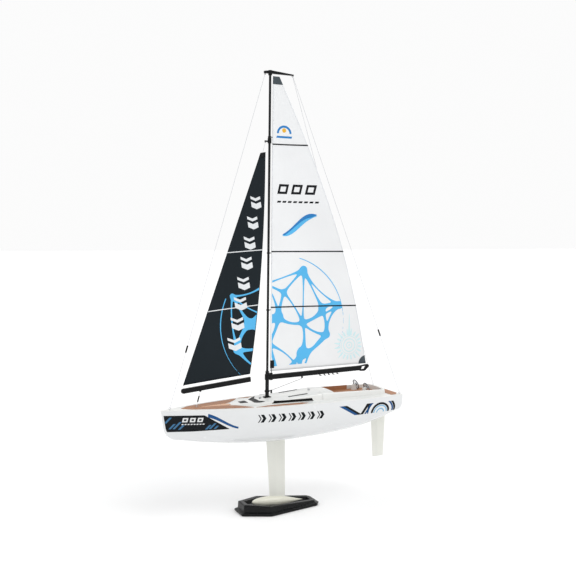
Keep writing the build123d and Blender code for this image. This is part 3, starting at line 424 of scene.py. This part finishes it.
def clip(corners, values):
    """The part of a polygon where the value, given at its corners, is below zero."""
    kept = []
    ring = list(zip(corners, values))
    for (p, a), (q, b) in zip(ring, ring[1:] + ring[:1]):
        if a < 0:
            kept.append(p)
        if (a < 0) != (b < 0):
            share = a / (a - b)
            kept.append((p[0] + (q[0] - p[0]) * share, p[1] + (q[1] - p[1]) * share))
    return kept


def region(field, x0, x1, z0, z1, cell):
    """A flat mesh of the places in a rectangle where the field is below zero."""
    xs = np.arange(x0, x1 + cell, cell)
    zs = np.arange(z0, z1 + cell, cell)
    value = field(*np.meshgrid(xs, zs))
    value = np.where(np.abs(value) < 1e-4, 1e-4, value)
    index = {}
    points = []
    faces = []

    def number(p):
        """The place in the list of a point, which neighbouring cells share."""
        key = (round(p[0], 4), round(p[1], 4))
        if key not in index:
            index[key] = len(points)
            points.append(key)
        return index[key]

    low = np.minimum.reduce([value[:-1, :-1], value[1:, :-1], value[:-1, 1:], value[1:, 1:]])
    for j, i in zip(*np.nonzero(low < 0)):
        corners = [(xs[i], zs[j]), (xs[i + 1], zs[j]), (xs[i + 1], zs[j + 1]), (xs[i], zs[j + 1])]
        values = [value[j, i], value[j, i + 1], value[j + 1, i + 1], value[j + 1, i]]
        if max(values) < 0:
            faces.append(tuple(number(c) for c in corners))
            continue
        for a, b, c in ((0, 1, 2), (0, 2, 3)):
            kept = clip([corners[a], corners[b], corners[c]], [values[a], values[b], values[c]])
            ring = []
            for p in kept:
                n = number(p)
                if n not in ring:
                    ring.append(n)
            if len(ring) > 2:
                faces.append(tuple(ring))
    return points, faces


# ---- The sails' shapes --------------------------------------------------------------

MAIN_FIT = np.polyfit([z for _, z in MAIN_LEECH], [x for x, _ in MAIN_LEECH], 4)
JIB_FIT = np.polyfit([z for _, z in JIB_LEECH], [x for x, _ in JIB_LEECH], 3)
MAIN_CLEW = MAIN_LEECH[-1]


def belly(share, chord, height):
    """How far the cloth stands off the centre plane, deepest a little ahead of the middle."""
    share = min(max(share, 0.0), 1.0)
    curve = 3.2 * share**0.85 * (1 - share) ** 1.15
    rise = min(max(height / 0.3, 0.0), 1.0)
    easing = 0.25 + 0.75 * rise * rise * (3 - 2 * rise)  # flatter near the foot
    ripple = 0.25 * math.sin(9 * height + 2 * share) * share * (1 - share) * 4
    return -(BELLY * chord * curve * easing + ripple * min(1.0, chord / 60))


def luff_x(z):
    """Where the mainsail's raked luff is at one height."""
    return MAST_X - MAST_RAKE * (z - MAST_FOOT_Z) - LUFF_GAP


def main_leech(z):
    """Where the mainsail's curved after edge is at one height."""
    return float(np.polyval(MAIN_FIT, z))


def jib_leech(z):
    """Where the jib's after edge is at one height."""
    return float(np.polyval(JIB_FIT, z))


def jib_luff(z):
    """Where the jib's straight front edge is at one height."""
    return JIB_TACK[0] + (JIB_HEAD[0] - JIB_TACK[0]) * (z - JIB_TACK[1]) / (JIB_HEAD[1] - JIB_TACK[1])


def main_y(x, z):
    """The mainsail's distance from the centre plane."""
    front = luff_x(z)
    chord = front - main_leech(z)
    return belly((front - x) / chord, chord, (z - TACK_Z) / (HEAD_Z - TACK_Z))


def jib_y(x, z):
    """The jib's distance from the centre plane."""
    front = jib_luff(z)
    chord = max(front - jib_leech(z), 1.0)
    return belly((front - x) / chord, chord, (z - JIB_TACK[1]) / (JIB_HEAD[1] - JIB_TACK[1]))


def on_main(x, z, off):
    """A point on the mainsail's cambered cloth, or off to one side of it."""
    return (x, main_y(x, z) + off, z)


def on_jib(x, z, off):
    """A point on the jib's cambered cloth, or off to one side of it."""
    return (x, jib_y(x, z) + off, z)


def main_edges():
    """The mainsail's luff and leech as functions of the height's share."""
    def luff(v):
        z = TACK_Z + v * (HEAD_Z - TACK_Z)
        return luff_x(z), z

    def leech(v):
        z = MAIN_CLEW[1] + v * (HEAD_Z - MAIN_CLEW[1])
        return main_leech(z), z

    return luff, leech


def jib_edges():
    """The jib's luff and leech as functions of the height's share."""
    def luff(v):
        z = JIB_TACK[1] + v * (JIB_HEAD[1] - JIB_TACK[1])
        return jib_luff(z), z

    def leech(v):
        z = JIB_CLEW[1] + v * (JIB_LEECH[0][1] - JIB_CLEW[1])
        return jib_leech(z), z

    return luff, leech


def laid(name, flat, place, half, material, body):
    """A closed layer on both faces of a sail."""
    verts, faces = closed_layer(*flat, place, -half, half)
    return finish_piece(name, verts, faces, material, body)


def strip(left, right, across=40, up=2):
    """A flat strip between two edges, each given by its lower and upper end."""
    def edge(ends):
        (x0, z0), (x1, z1) = ends
        return lambda v: (x0 + (x1 - x0) * v, z0 + (z1 - z0) * v)

    return grid((edge(left), edge(right)), across, up)


def along_edge(edge, inward, width, steps=90):
    """A strip that follows one edge of a sail, as wide as a hem."""
    points = []
    for k in range(steps + 1):
        x, z = edge(k / steps)
        points += [(x, z), (x + inward * width, z)]
    faces = []
    for k in range(steps):
        a = 2 * k
        faces.append((a, a + 1, a + 3, a + 2))
    return points, faces


# ---- Mainsail -----------------------------------------------------------------------


def mainsail():
    """The cloth, its hems, battens and corner patches."""
    flat = grid(main_edges(), 40, 110)
    sail = laid("mainsail_cloth", flat, on_main, CLOTH, "sail_white", "main")
    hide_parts("mainsail")
    extras = mainsail_hems() + mainsail_battens() + mainsail_patches()


def mainsail_hems():
    """The tapes along the luff and the leech."""
    luff, leech = main_edges()
    front, rear = MAIN_HEMS
    hems = (("luff", along_edge(luff, -1, front)), ("leech", along_edge(leech, 1, rear)))
    return [
        laid(f"mainsail_{name}_hem", flat, on_main, HEM, "tape_white", "main")
        for name, flat in hems
    ]


def mainsail_battens():
    """The three dark battens."""
    battens = []
    half = MAIN_BATTEN_HALF
    for k, (aft, fore) in enumerate(MAIN_BATTENS):
        front = [(luff_x(fore), fore - half), (luff_x(fore), fore + half)]
        rear = [(main_leech(aft - half), aft - half), (main_leech(aft + half), aft + half)]
        name = f"mainsail_batten_{k + 1}"
        battens.append(laid(name, strip(front, rear), on_main, BAND, "tape_black", "main"))
    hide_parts("mainsail_battens")
    return battens


def mainsail_patches():
    """The head, tack and clew patches and the tie under the tack."""
    low = HEAD_Z - HEAD_PATCH
    luff = [(luff_x(low), low), (luff_x(HEAD_Z), HEAD_Z)]
    head = strip(luff, [(main_leech(low), low), MAIN_LEECH[0]], 8, 4)
    width, bottom, top = TACK_PATCH
    low, high = TACK_Z + bottom, TACK_Z + top
    front = [(luff_x(low), low), (luff_x(high), high)]
    tack = strip(front, [(x - width, z) for x, z in front], 8, 6)
    inset, thin, drop = TACK_TIE
    edge = [(luff_x(low) - inset, TACK_Z - drop), (luff_x(low) - inset, low)]
    tie = strip(edge, [(x - thin, z) for x, z in edge], 1, 4)
    shapes = {"head": head, "tack": tack, "tack_tie": tie, "clew": clew_patch()}
    patches = []
    for name, flat in shapes.items():
        cloth_name = "patch_grey" if name in ("head", "clew") else "tape_black"
        piece = laid(f"mainsail_{name}_patch", flat, on_main, BAND, cloth_name, "main")
        patches.append(piece)
    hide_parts("mainsail_patches")
    return patches


def clew_patch(steps=14):
    """A quarter-round patch in the corner between the foot and the leech."""
    x, z = MAIN_CLEW
    points = [(x, z)]
    for k in range(steps + 1):
        turn = k / steps * math.pi / 2
        pz = z + CLEW_PATCH * math.sin(turn)
        on_arc = x + CLEW_PATCH * math.cos(turn)
        px = main_leech(pz) if k == steps else max(on_arc, main_leech(pz))
        points.append((px, pz))
    return points, [(0, k + 1, k + 2) for k in range(steps)]


# ---- Jib ----------------------------------------------------------------------------


def jib():
    """The cloth, its luff tape, battens and head cap."""
    flat = grid(jib_edges(), 28, 90)
    sail = laid("jib_cloth", flat, on_jib, CLOTH, "sail_dark", "jib")
    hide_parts("jib_sail")
    half = JIB_BATTEN_HALF
    for k, ((x0, z0), (x1, z1)) in enumerate(JIB_BATTENS):
        tape = strip([(x0, z0 - half), (x0, z0 + half)], [(x1, z1 - half), (x1, z1 + half)])
        laid(f"jib_batten_{k + 1}", tape, on_jib, BAND, "tape_white", "jib")
    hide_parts("jib_battens")
    top = JIB_HEAD[1]
    cap = strip(
        [(jib_luff(top - JIB_CAP), top - JIB_CAP), JIB_HEAD],
        [(jib_leech(top - JIB_CAP), top - JIB_CAP + 1.5), JIB_LEECH[0]], 8, 4,
    )
    laid("jib_head_patch", cap, on_jib, BAND, "tape_black", "jib")
    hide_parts("jib_head_cap")
    luff, _ = jib_edges()
    tape = along_edge(luff, -1, JIB_HEM)
    laid("jib_luff_tape", tape, on_jib, HEM, "sail_dark", "jib")


# ---- Printed shapes as fields: below zero inside ------------------------------------


def slanted_bar(x, z, cx, cz, wide, tall, lean):
    """A parallelogram with a level top and foot and leaning sides."""
    moved = x - cx - lean * (z - cz)
    return np.maximum(np.abs(moved) - wide / 2, np.abs(z - cz) - tall / 2)


def union(*fields):
    """Below zero in any of the fields' shapes."""
    return np.minimum.reduce(fields)


def within(*fields):
    """Below zero in all of the fields' shapes at once."""
    return np.maximum.reduce(fields)


def frame_row(x, z, first, pitch, cz, outer, inner, lean):
    """Three leaning open frames in a row, with their outer and inner width and height."""
    frames = []
    for k in range(3):
        cx = first - pitch * k
        solid = slanted_bar(x, z, cx, cz, *outer, lean)
        hole = slanted_bar(x, z, cx, cz, *inner, lean)
        frames.append(within(solid, -hole))
    return union(*frames)


def dash_row(x, z, first, pitch, cz, wide, tall):
    """Eight leaning dashes in a row."""
    return union(*[slanted_bar(x, z, first - pitch * k, cz, wide, tall, -0.5) for k in range(8)])


def web_strands():
    """The web's strands: the two hubs that each joins, their weights and the strand's bend."""
    rng = np.random.default_rng(29)
    k = np.arange(WEB_HUBS)
    out = np.sqrt((k + 0.4) / WEB_HUBS) * 0.98
    turn = 2.4 * k + 0.7
    hubs = np.stack([out * np.cos(turn), out * np.sin(turn)], 1)
    hubs[:-5] += rng.normal(0, 0.07, (WEB_HUBS - 5, 2))
    weight = rng.uniform(0.015, 0.085, WEB_HUBS) * (1.1 - 0.4 * (hubs[:, 1] > 0))
    apart = np.linalg.norm(hubs[:, None] - hubs[None], axis=-1)
    pairs = {tuple(sorted((a, int(b)))) for a in range(WEB_HUBS) for b in np.argsort(apart[a])[1:5]}
    return [(hubs[a], hubs[b], weight[a], weight[b], rng.uniform(-0.13, 0.13)) for a, b in sorted(pairs)]


def web(x, z):
    """Hubs joined by strands that are thin in the middle and swell where they meet."""
    cx, cz, radius = DISC
    spot = np.stack([(x - cx) / radius, (z - cz) / radius], -1)
    total = np.zeros(x.shape)
    for start, end, heavy_a, heavy_b, bend in web_strands():
        along = end - start
        length = np.linalg.norm(along)
        share = np.clip((spot - start) @ along / length**2, 0, 1)
        side = np.array([-along[1], along[0]]) / length
        bulge = 4 * share * (1 - share) * bend * length
        middle = start + share[..., None] * along + bulge[..., None] * side
        away = np.linalg.norm(spot - middle, axis=-1)
        wide = WEB_STRAND + heavy_a * np.exp(-share * length / WEB_SWELL)
        wide += heavy_b * np.exp(-(1 - share) * length / WEB_SWELL)
        total += np.exp(-(away - wide) / WEB_BLEND)
    field = -WEB_BLEND * np.log(np.maximum(total, 1e-30))
    inside = np.linalg.norm(spot, axis=-1) - 1
    return within(field * radius, inside * radius)


def disc_rim(x, z):
    """Broken thin arcs along the disc's edge."""
    cx, cz, radius = DISC
    away = np.hypot(x - cx, z - cz)
    turn = np.arctan2(z - cz, x - cx)
    line = np.abs(away - radius) - 0.55 * (1 + 0.5 * np.sin(3 * turn + 1))
    broken = -20 * np.cos(2 * turn + 0.9) - 3
    return within(line, broken)


def sunburst(x, z):
    """Rings with pointed rays and one long spire."""
    cx, cz = SUN
    away = np.hypot(x - cx, z - cz)
    turn = np.arctan2(z - cz, x - cx)
    rings = [np.abs(away - radius) - half for radius, half in ((5.0, 0.8), (10.5, 0.8), (15.0, 0.5))]
    dot = away - 1.4
    petal = np.abs(((turn / (2 * math.pi) * 20) % 1) - 0.5) * 2
    tips = 24 + 6 * np.cos(turn * 4) ** 2
    rays = within(17.0 - away, away - tips, (petal - 0.62) * 6 + (away - 17) * 0.28)
    spire = within(np.abs(x - cx) - 2.2 * (1 - (z - cz - 15) / 44), z - cz - 58, cz + 15 - z)
    return union(*rings, dot, rays, spire)


def swoosh(x, z, lift, lean):
    """A wave-like blade from lower right to upper left, thick in the middle."""
    share = (-x - 2.0) / 62.0
    middle = 441 + 27 * share + lean * np.sin((share - 0.45) * 5.2) + lift
    thick = 5.6 * np.clip(np.sin(np.clip(share, 0, 1) * math.pi), 0, 1) ** 0.8
    return within(np.abs(z - middle) - thick, np.abs(share - 0.5) * 60 - 30)


def swoosh_light(x, z):
    """The whole blade."""
    return swoosh(x, z, 0.0, 5.0)


def swoosh_deep(x, z):
    """A darker band along the blade's upper edge."""
    return within(swoosh(x, z, 1.6, 5.0), -swoosh(x, z, -3.4, 3.6))


def sail_bars(x, z):
    """Three leaning frames over a row of dashes."""
    frames = frame_row(x, z, -3.5, 24.5, 511, (17.5, 15.5), (9.5, 8.0), -0.25)
    return union(frames, dash_row(x, z, 3.8, 9.6, 491, 6.6, 3.0))


def top_mark(x, z):
    """A small arch over a bar."""
    arch = within(np.abs(np.hypot(x + 5, z - 598) - 11) - 1.7, 598 - z)
    return union(arch, slanted_bar(x, z, -5, 592.5, 27, 3.2, -0.4))


def top_dot(x, z):
    """The dot under the arch."""
    return np.hypot(x + 5, z - 603) - 3.4


def jib_chevrons(x, z):
    """A column of leaning chevrons that follows the jib's leech."""
    marks = []
    for k in range(8):
        cz = 262 + 31.5 * k
        cx = 79 - 38 * (k / 7.4)
        side = x - cx - 0.15 * (z - cz)
        height = z - cz - 0.42 * np.abs(side)
        marks.append(within(np.abs(height) - 4.2, np.abs(side) - 10.5 + 0.35 * k))
        marks.append(within(np.abs(height - 10.5) - 2.2, np.abs(side) - 10.5 + 0.35 * k))
    return union(*marks)


def jib_inside(x, z):
    """Below zero on the jib, a little in from its edges."""
    front = jib_luff(z)
    back = np.polyval(JIB_FIT, z)
    foot = JIB_TACK[1] + 1.5 + (JIB_TACK[0] - x) * 0.0893
    return within(x - front + 3, back - x + 1.0, foot - z)


def main_inside(x, z):
    """Below zero on the mainsail, a little in from its edges."""
    foot = TACK_Z + (luff_x(TACK_Z) - x) * 0.0167 + 7.5
    return within(x - luff_x(z) + 1.0, np.polyval(MAIN_FIT, z) - x + 3.5, foot - z)


def rimmed_web(x, z):
    """The web with the line round its disc."""
    return union(web(x, z), disc_rim(x, z))


def round_disc():
    """The rectangle round the web's disc: x from, x to, z from, z to."""
    cx, cz, radius = DISC
    return (cx - radius - 2, cx + radius + 2, cz - radius - 2, cz + radius + 2)


# Each print: its name, its field, the rectangle that it lies in, the mesh's cell and its ink.
MAIN_PRINTS = [
    ("web", rimmed_web, round_disc(), 0.9, "ink_sky"),
    ("sunburst", sunburst, (-165, -90, 220, 320), 0.7, "ink_faint"),
    ("swoosh_light", swoosh_light, (-70, 2, 425, 480), 0.6, "ink_sky"),
    ("bars", sail_bars, (-72, 12, 484, 522), 0.5, "ink_dark"),
    ("top_mark", top_mark, (-24, 14, 588, 612), 0.5, "ink_blue"),
    ("top_dot", top_dot, (-10, 0, 598, 608), 0.4, "ink_amber"),
]


def main_prints():
    """Every print on the mainsail."""
    for name, field, (x0, x1, z0, z1), cell, ink in MAIN_PRINTS:
        x1 = min(x1, luff_x(z0))
        flat = region(lambda x, z: within(field(x, z), main_inside(x, z)), x0, x1, z0, z1, cell)
        laid(f"main_print_{name}", flat, on_main, INK, ink, "main")
    flat = region(swoosh_deep, -70, 2, 425, 480, 0.6)
    laid("main_print_swoosh_deep", flat, on_main, OVERPRINT, "ink_blue", "main")


def jib_prints():
    """The web and the chevrons on the jib."""
    _, x1, z0, z1 = round_disc()
    flat = region(lambda x, z: within(rimmed_web(x, z), jib_inside(x, z)), 28, x1, z0, z1, 0.9)
    laid("jib_print_web", flat, on_jib, INK, "ink_sky", "jib")
    flat = region(lambda x, z: within(jib_chevrons(x, z), jib_inside(x, z)), 28, 100, 250, 505, 0.6)
    laid("jib_print_chevrons", flat, on_jib, OVERPRINT, "ink_white", "jib")


# ---- Hull graphics ------------------------------------------------------------------


def hull_tree():
    """A search tree of the hull's outside."""
    mesh = NODES["hull_shell"].data
    return BVHTree.FromPolygons([v.co for v in mesh.vertices], [tuple(p.vertices) for p in mesh.polygons])


HULL = hull_tree()


def on_hull(side):
    """Lays a point of the side view on one side of the hull."""
    def place(x, z, off):
        start = Vector((x * MM, side * 0.2, z * MM))
        hit, normal, _, _ = HULL.ray_cast(start, Vector((0, -side, 0)))
        if hit is None:
            hit, normal, _, _ = HULL.find_nearest(start)
        if normal.y * side < 0:
            normal = -normal
        return tuple((hit + normal * (off * MM)) / MM)

    return place


def bow_panel(x, z):
    """The dark panel with a rounded fore foot and a slanted after end."""
    low = 140.5 + (192 - x) * 0.044
    top = 167.3
    front = 196.3 - 0.16 * (168 - z) - 0.03 * np.clip(149 - z, 0, 20) ** 2
    rear = 139.5 - 1.64 * (167.5 - z)
    return within(z - top, low - z, x - front, rear - x)


def bow_bars(x, z):
    """Leaning blue bars at both ends of the bow panel."""
    bars = []
    fore = [(190, 160, 9), (184, 150.5, 8), (177, 152, 11), (171, 149, 7)]
    aft = [(133, 148.5, 7), (127, 150, 9), (121.5, 148, 5)]
    for cx, cz, tall in fore + aft:
        bars.append(slanted_bar(x, z, cx, cz, 3.4, tall, -0.85))
    return within(union(*bars), bow_panel(x, z) + 0.6)


def bow_marks(x, z):
    """Three pale leaning frames over a row of dashes."""
    frames = frame_row(x, z, 166, 10.6, 160.3, (7.6, 6.6), (3.6, 2.8), -0.2)
    return union(frames, dash_row(x, z, 169.5, 4.2, 153.6, 2.7, 1.5))


def bow_wave(x, z):
    """The blue blade that trails from the panel."""
    share = (134 - x) / 45
    middle = 166.4 - 20.5 * (share**2 * (3 - 2 * share) * 0.55 + 0.45 * share)
    thick = 2.9 - 1.4 * np.clip(share, 0, 1)
    return within(np.abs(z - middle) - thick, np.abs(share - 0.5) * 45 - 22.5)


def side_chevrons(x, z):
    """A row of leaning open chevrons amidships."""
    marks = []
    for k in range(7):
        cx = 52 - 16.2 * k
        cz = 158.2 - 0.25 * k
        side = x - cx
        height = np.abs(z - cz)
        arrow = np.abs(side - 0.62 * height + 2.4) - 2.5
        marks.append(within(arrow, height - 6.2))
        marks.append(within(np.abs(side - 0.62 * height - 3.4) - 0.9, height - 6.2))
    return union(*marks)


def leaning_band(x, z, top_x, foot_x, wide):
    """A straight band between the print's top and bottom lines, with its middle's two ends."""
    share = (STERN_TOP_Z - z) / (STERN_TOP_Z - STERN_FOOT_Z)
    middle = top_x + (foot_x - top_x) * share
    return within(np.abs(x - middle) - wide / 2, z - STERN_TOP_Z, STERN_FOOT_Z - z)


def stern_bands_black(x, z):
    """The V's falling and rising arms."""
    return union(leaning_band(x, z, -87.6, -116.6, 6.6), leaning_band(x, z, -131, -119.5, 5.4))


def stern_bands_blue(x, z):
    """The blue edges ahead of the falling arm and behind the rising arm."""
    return union(leaning_band(x, z, -80.5, -110.5, 8.0), leaning_band(x, z, -136.8, -126.3, 3.6))


def arcs(radii, half):
    """Concentric arcs that stand on the print's bottom line."""
    def field(x, z):
        away = np.hypot(x - ARCS_X, (z - STERN_FOOT_Z) * 1.12)
        rings = union(*[np.abs(away - r) - half for r in radii])
        return within(rings, STERN_FOOT_Z - z, z - STERN_TOP_Z, -189 - x, x + 130)

    return field


# Each film: its name, its field, the rectangle that it lies in, the mesh's cell, its material
# and how proud it stands.
HULL_FILMS = [
    ("bow_panel", bow_panel, (100, 198, 142, 170), 0.5, "film_black", 0.10),
    ("bow_bars", bow_bars, (112, 198, 142, 170), 0.4, "film_steel_blue", 0.16),
    ("bow_marks", bow_marks, (136, 174, 150, 166), 0.3, "film_white", 0.16),
    ("bow_wave", bow_wave, (86, 136, 140, 171), 0.4, "film_blue", 0.10),
    ("side_chevrons", side_chevrons, (-58, 62, 150, 166), 0.4, "film_black", 0.10),
    ("stern_bands_black", stern_bands_black, (-140, -76, 147, 168), 0.4, "film_black", 0.13),
    ("stern_bands_blue", stern_bands_blue, (-142, -76, 147, 168), 0.4, "film_blue", 0.10),
    ("stern_arcs_dark", arcs((16.8, 29.5), 1.9), (-192, -128, 148, 168), 0.4, "film_black", 0.13),
    ("stern_arcs_blue", arcs((25.4,), 1.6), (-192, -128, 148, 168), 0.4, "film_blue", 0.10),
    ("stern_arcs_sky", arcs((7.0, 12.8), 1.1), (-192, -128, 148, 168), 0.4, "film_sky", 0.10),
]


def hull_graphics():
    """The hull's coloured film, the same on both sides."""
    for name, field, (x0, x1, z0, z1), cell, film, proud in HULL_FILMS:
        flat = region(field, x0, x1, z0, z1, cell)
        for label, side in (("port", 1), ("starboard", -1)):
            verts, faces = closed_layer(*flat, on_hull(side), FILM_ROOT, proud)
            if side > 0:
                faces = [tuple(reversed(f)) for f in faces]
            finish_piece(f"{name}_{label}", verts, faces, film, "boat")


# ---- Rigging lines ------------------------------------------------------------------


def taut_line(name, start, end, body, slot, node):
    """A rigging line pulled straight between two places."""
    curve = bpy.data.curves.new(name, "CURVE")
    curve.dimensions = "3D"
    curve.bevel_depth = LINE / 2 * MM
    curve.bevel_resolution = 3
    curve.use_fill_caps = True
    spline = curve.splines.new("NURBS")
    spline.points.add(3)
    for k in range(4):
        point = [a + (b - a) * k / 3 for a, b in zip(start, end)]
        spline.points[k].co = (*[c * MM for c in point], 1)
    spline.order_u = 3
    spline.use_endpoint_u = True
    line = bpy.data.objects.new(name, curve)
    bpy.context.scene.collection.objects.link(line)
    line.data.materials.append(MATERIALS[slot])
    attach(line, body)
    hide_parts(node)
    [c * MM for c in start]
    math.dist(start, end) * MM


def ends(low, high):
    """A stay's ends, a little clear of the eyes that it is tied to."""
    low, high = Vector(low), Vector(high)
    along = (high - low).normalized()
    return tuple(low + along * KNOT), tuple(high - along * KNOT)


def rigging():
    """The stays and the vang."""
    low, high = ends(BOW_EYE, CRANE_NOSE)
    taut_line("forestay_line", low, high, "boat", "line_white", "forestay")
    for name, side in (("port", 1), ("starboard", -1)):
        foot = (STERN_EYE[0], side * STERN_EYE[1], STERN_EYE[2])
        head = (CRANE_TAIL[0], side * CRANE_TAIL[1], CRANE_TAIL[2])
        low, high = ends(foot, head)
        taut_line(f"backstay_{name}_line", low, high, "boat", "line_white", f"backstay_{name}")
    taut_line("vang_taut_line", VANG_LOW, VANG_HIGH, "main", "line_black", "vang_line")
    jib_tethers()


def on_jib_axis(z):
    """A point on the line that the jib swings about."""
    share = (z - JIB_LOW[2]) / (JIB_HIGH[2] - JIB_LOW[2])
    return Vector(JIB_LOW).lerp(Vector(JIB_HIGH), share)


def tube(name, z0, z1, radius, material):
    """A small round piece along the jib's axis, with a slight swell at each end."""
    low, high = on_jib_axis(z0), on_jib_axis(z1)
    along = (high - low).normalized()
    out = along.orthogonal().normalized()
    across = along.cross(out)
    shares = (0, 0, 0.06, 0.3, 0.7, 0.94, 1, 1)
    swells = (0, 0.8, 1.0, 0.92, 0.92, 1.0, 0.8, 0)
    verts, faces = [], []
    for share, swell in zip(shares, swells):
        for k in range(12):
            turn = k / 12 * 2 * math.pi
            round_it = out * math.cos(turn) + across * math.sin(turn)
            verts.append(low.lerp(high, share) + round_it * (radius * swell))
    for ring in range(len(shares) - 1):
        for k in range(12):
            a, b = ring * 12 + k, ring * 12 + (k + 1) % 12
            faces.append((a, b, b + 12, a + 12))
    return finish_piece(name, verts, faces, material, "jib")


def jib_tethers():
    """The pale lines at the jib's foot and head, and the dark clip on the lower one."""
    low = tube("jib_foot_line", *FOOT_LINE, LINE / 2, "line_white")
    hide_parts("jib_lines")
    tube("jib_head_line", *HEAD_LINE, LINE / 2, "line_white")
    tube("jib_foot_clip", *FOOT_CLIP, CLIP_R, "rig_black")


# ---- Stage --------------------------------------------------------------------------


def floor():
    """A plain pale floor."""
    mesh = bpy.data.meshes.new("floor")
    far = FLOOR_HALF
    corners = [(-far, -far, 0), (far, -far, 0), (far, far, 0), (-far, far, 0)]
    mesh.from_pydata(corners, [], [(0, 1, 2, 3)])
    plane = bpy.data.objects.new("floor", mesh)
    bpy.context.scene.collection.objects.link(plane)
    plane.location.z = -FLOOR_DROP * MM
    material, tree, shader = new_material("floor")
    soft = noise(tree, coordinates(tree), 2, 2)
    tint = mixed(tree, soft, (0.91, 0.91, 0.91), (0.93, 0.93, 0.93))
    tree.links.new(tint, shader.inputs["Base Color"])
    shader.inputs["Roughness"].default_value = 0.9
    shader.inputs["Specular IOR Level"].default_value = 0.1
    plane.data.materials.append(material)


def sky():
    """White light from all round, brightest near the horizon."""
    world = bpy.data.worlds.new("studio")
    world.use_nodes = True
    tree = world.node_tree
    where = add(tree, "ShaderNodeTexCoord")
    parts = add(tree, "ShaderNodeSeparateXYZ")
    tree.links.new(where.outputs["Generated"], parts.inputs["Vector"])
    rise = add(tree, "ShaderNodeMapRange")
    rise.inputs["From Min"].default_value = 0.3
    rise.inputs["From Max"].default_value = 0.9
    rise.inputs["To Min"].default_value = HORIZON
    rise.inputs["To Max"].default_value = ZENITH
    tree.links.new(parts.outputs["Z"], rise.inputs["Value"])
    background = tree.nodes["Background"]
    background.inputs["Color"].default_value = (1.0, 1.0, 1.0, 1)
    tree.links.new(rise.outputs["Result"], background.inputs["Strength"])
    bpy.context.scene.world = world


def soft_sun(name, toward, strength, angle):
    """A wide, soft, distant light."""
    data = bpy.data.lights.new(name, "SUN")
    data.energy = strength
    data.angle = math.radians(angle)
    light = bpy.data.objects.new(name, data)
    light.rotation_euler = (-Vector(toward)).to_track_quat("-Z", "Y").to_euler()
    bpy.context.scene.collection.objects.link(light)


def studio():
    """Soft light from all round, with a wide key from above on the port quarter."""
    sky()
    soft_sun("key", toward=(-0.42, 0.5, 1.0), strength=1.1, angle=40)
    soft_sun("top", toward=(0.3, -0.25, 1.0), strength=0.8, angle=60)


def camera():
    """The view from the port bow."""
    data = bpy.data.cameras.new("camera")
    data.lens = CAMERA_LENS
    data.sensor_width = CAMERA_SENSOR
    eye = bpy.data.objects.new("camera", data)
    turn, dip = math.radians(CAMERA_TURN), math.radians(CAMERA_DIP)
    eye.location = [c * MM for c in CAMERA_AT]
    gaze = Vector((-math.sin(turn) * math.cos(dip), -math.cos(turn) * math.cos(dip), -math.sin(dip)))
    eye.rotation_euler = gaze.to_track_quat("-Z", "Y").to_euler()
    bpy.context.scene.collection.objects.link(eye)
    bpy.context.scene.camera = eye


camera()
studio()
floor()
paint_cad_nodes()
rigging()
mainsail()
jib()
main_prints()
jib_prints()
hull_graphics()
bpy.context.scene.view_settings.view_transform = "Standard"

bpy.context.view_layer.update()
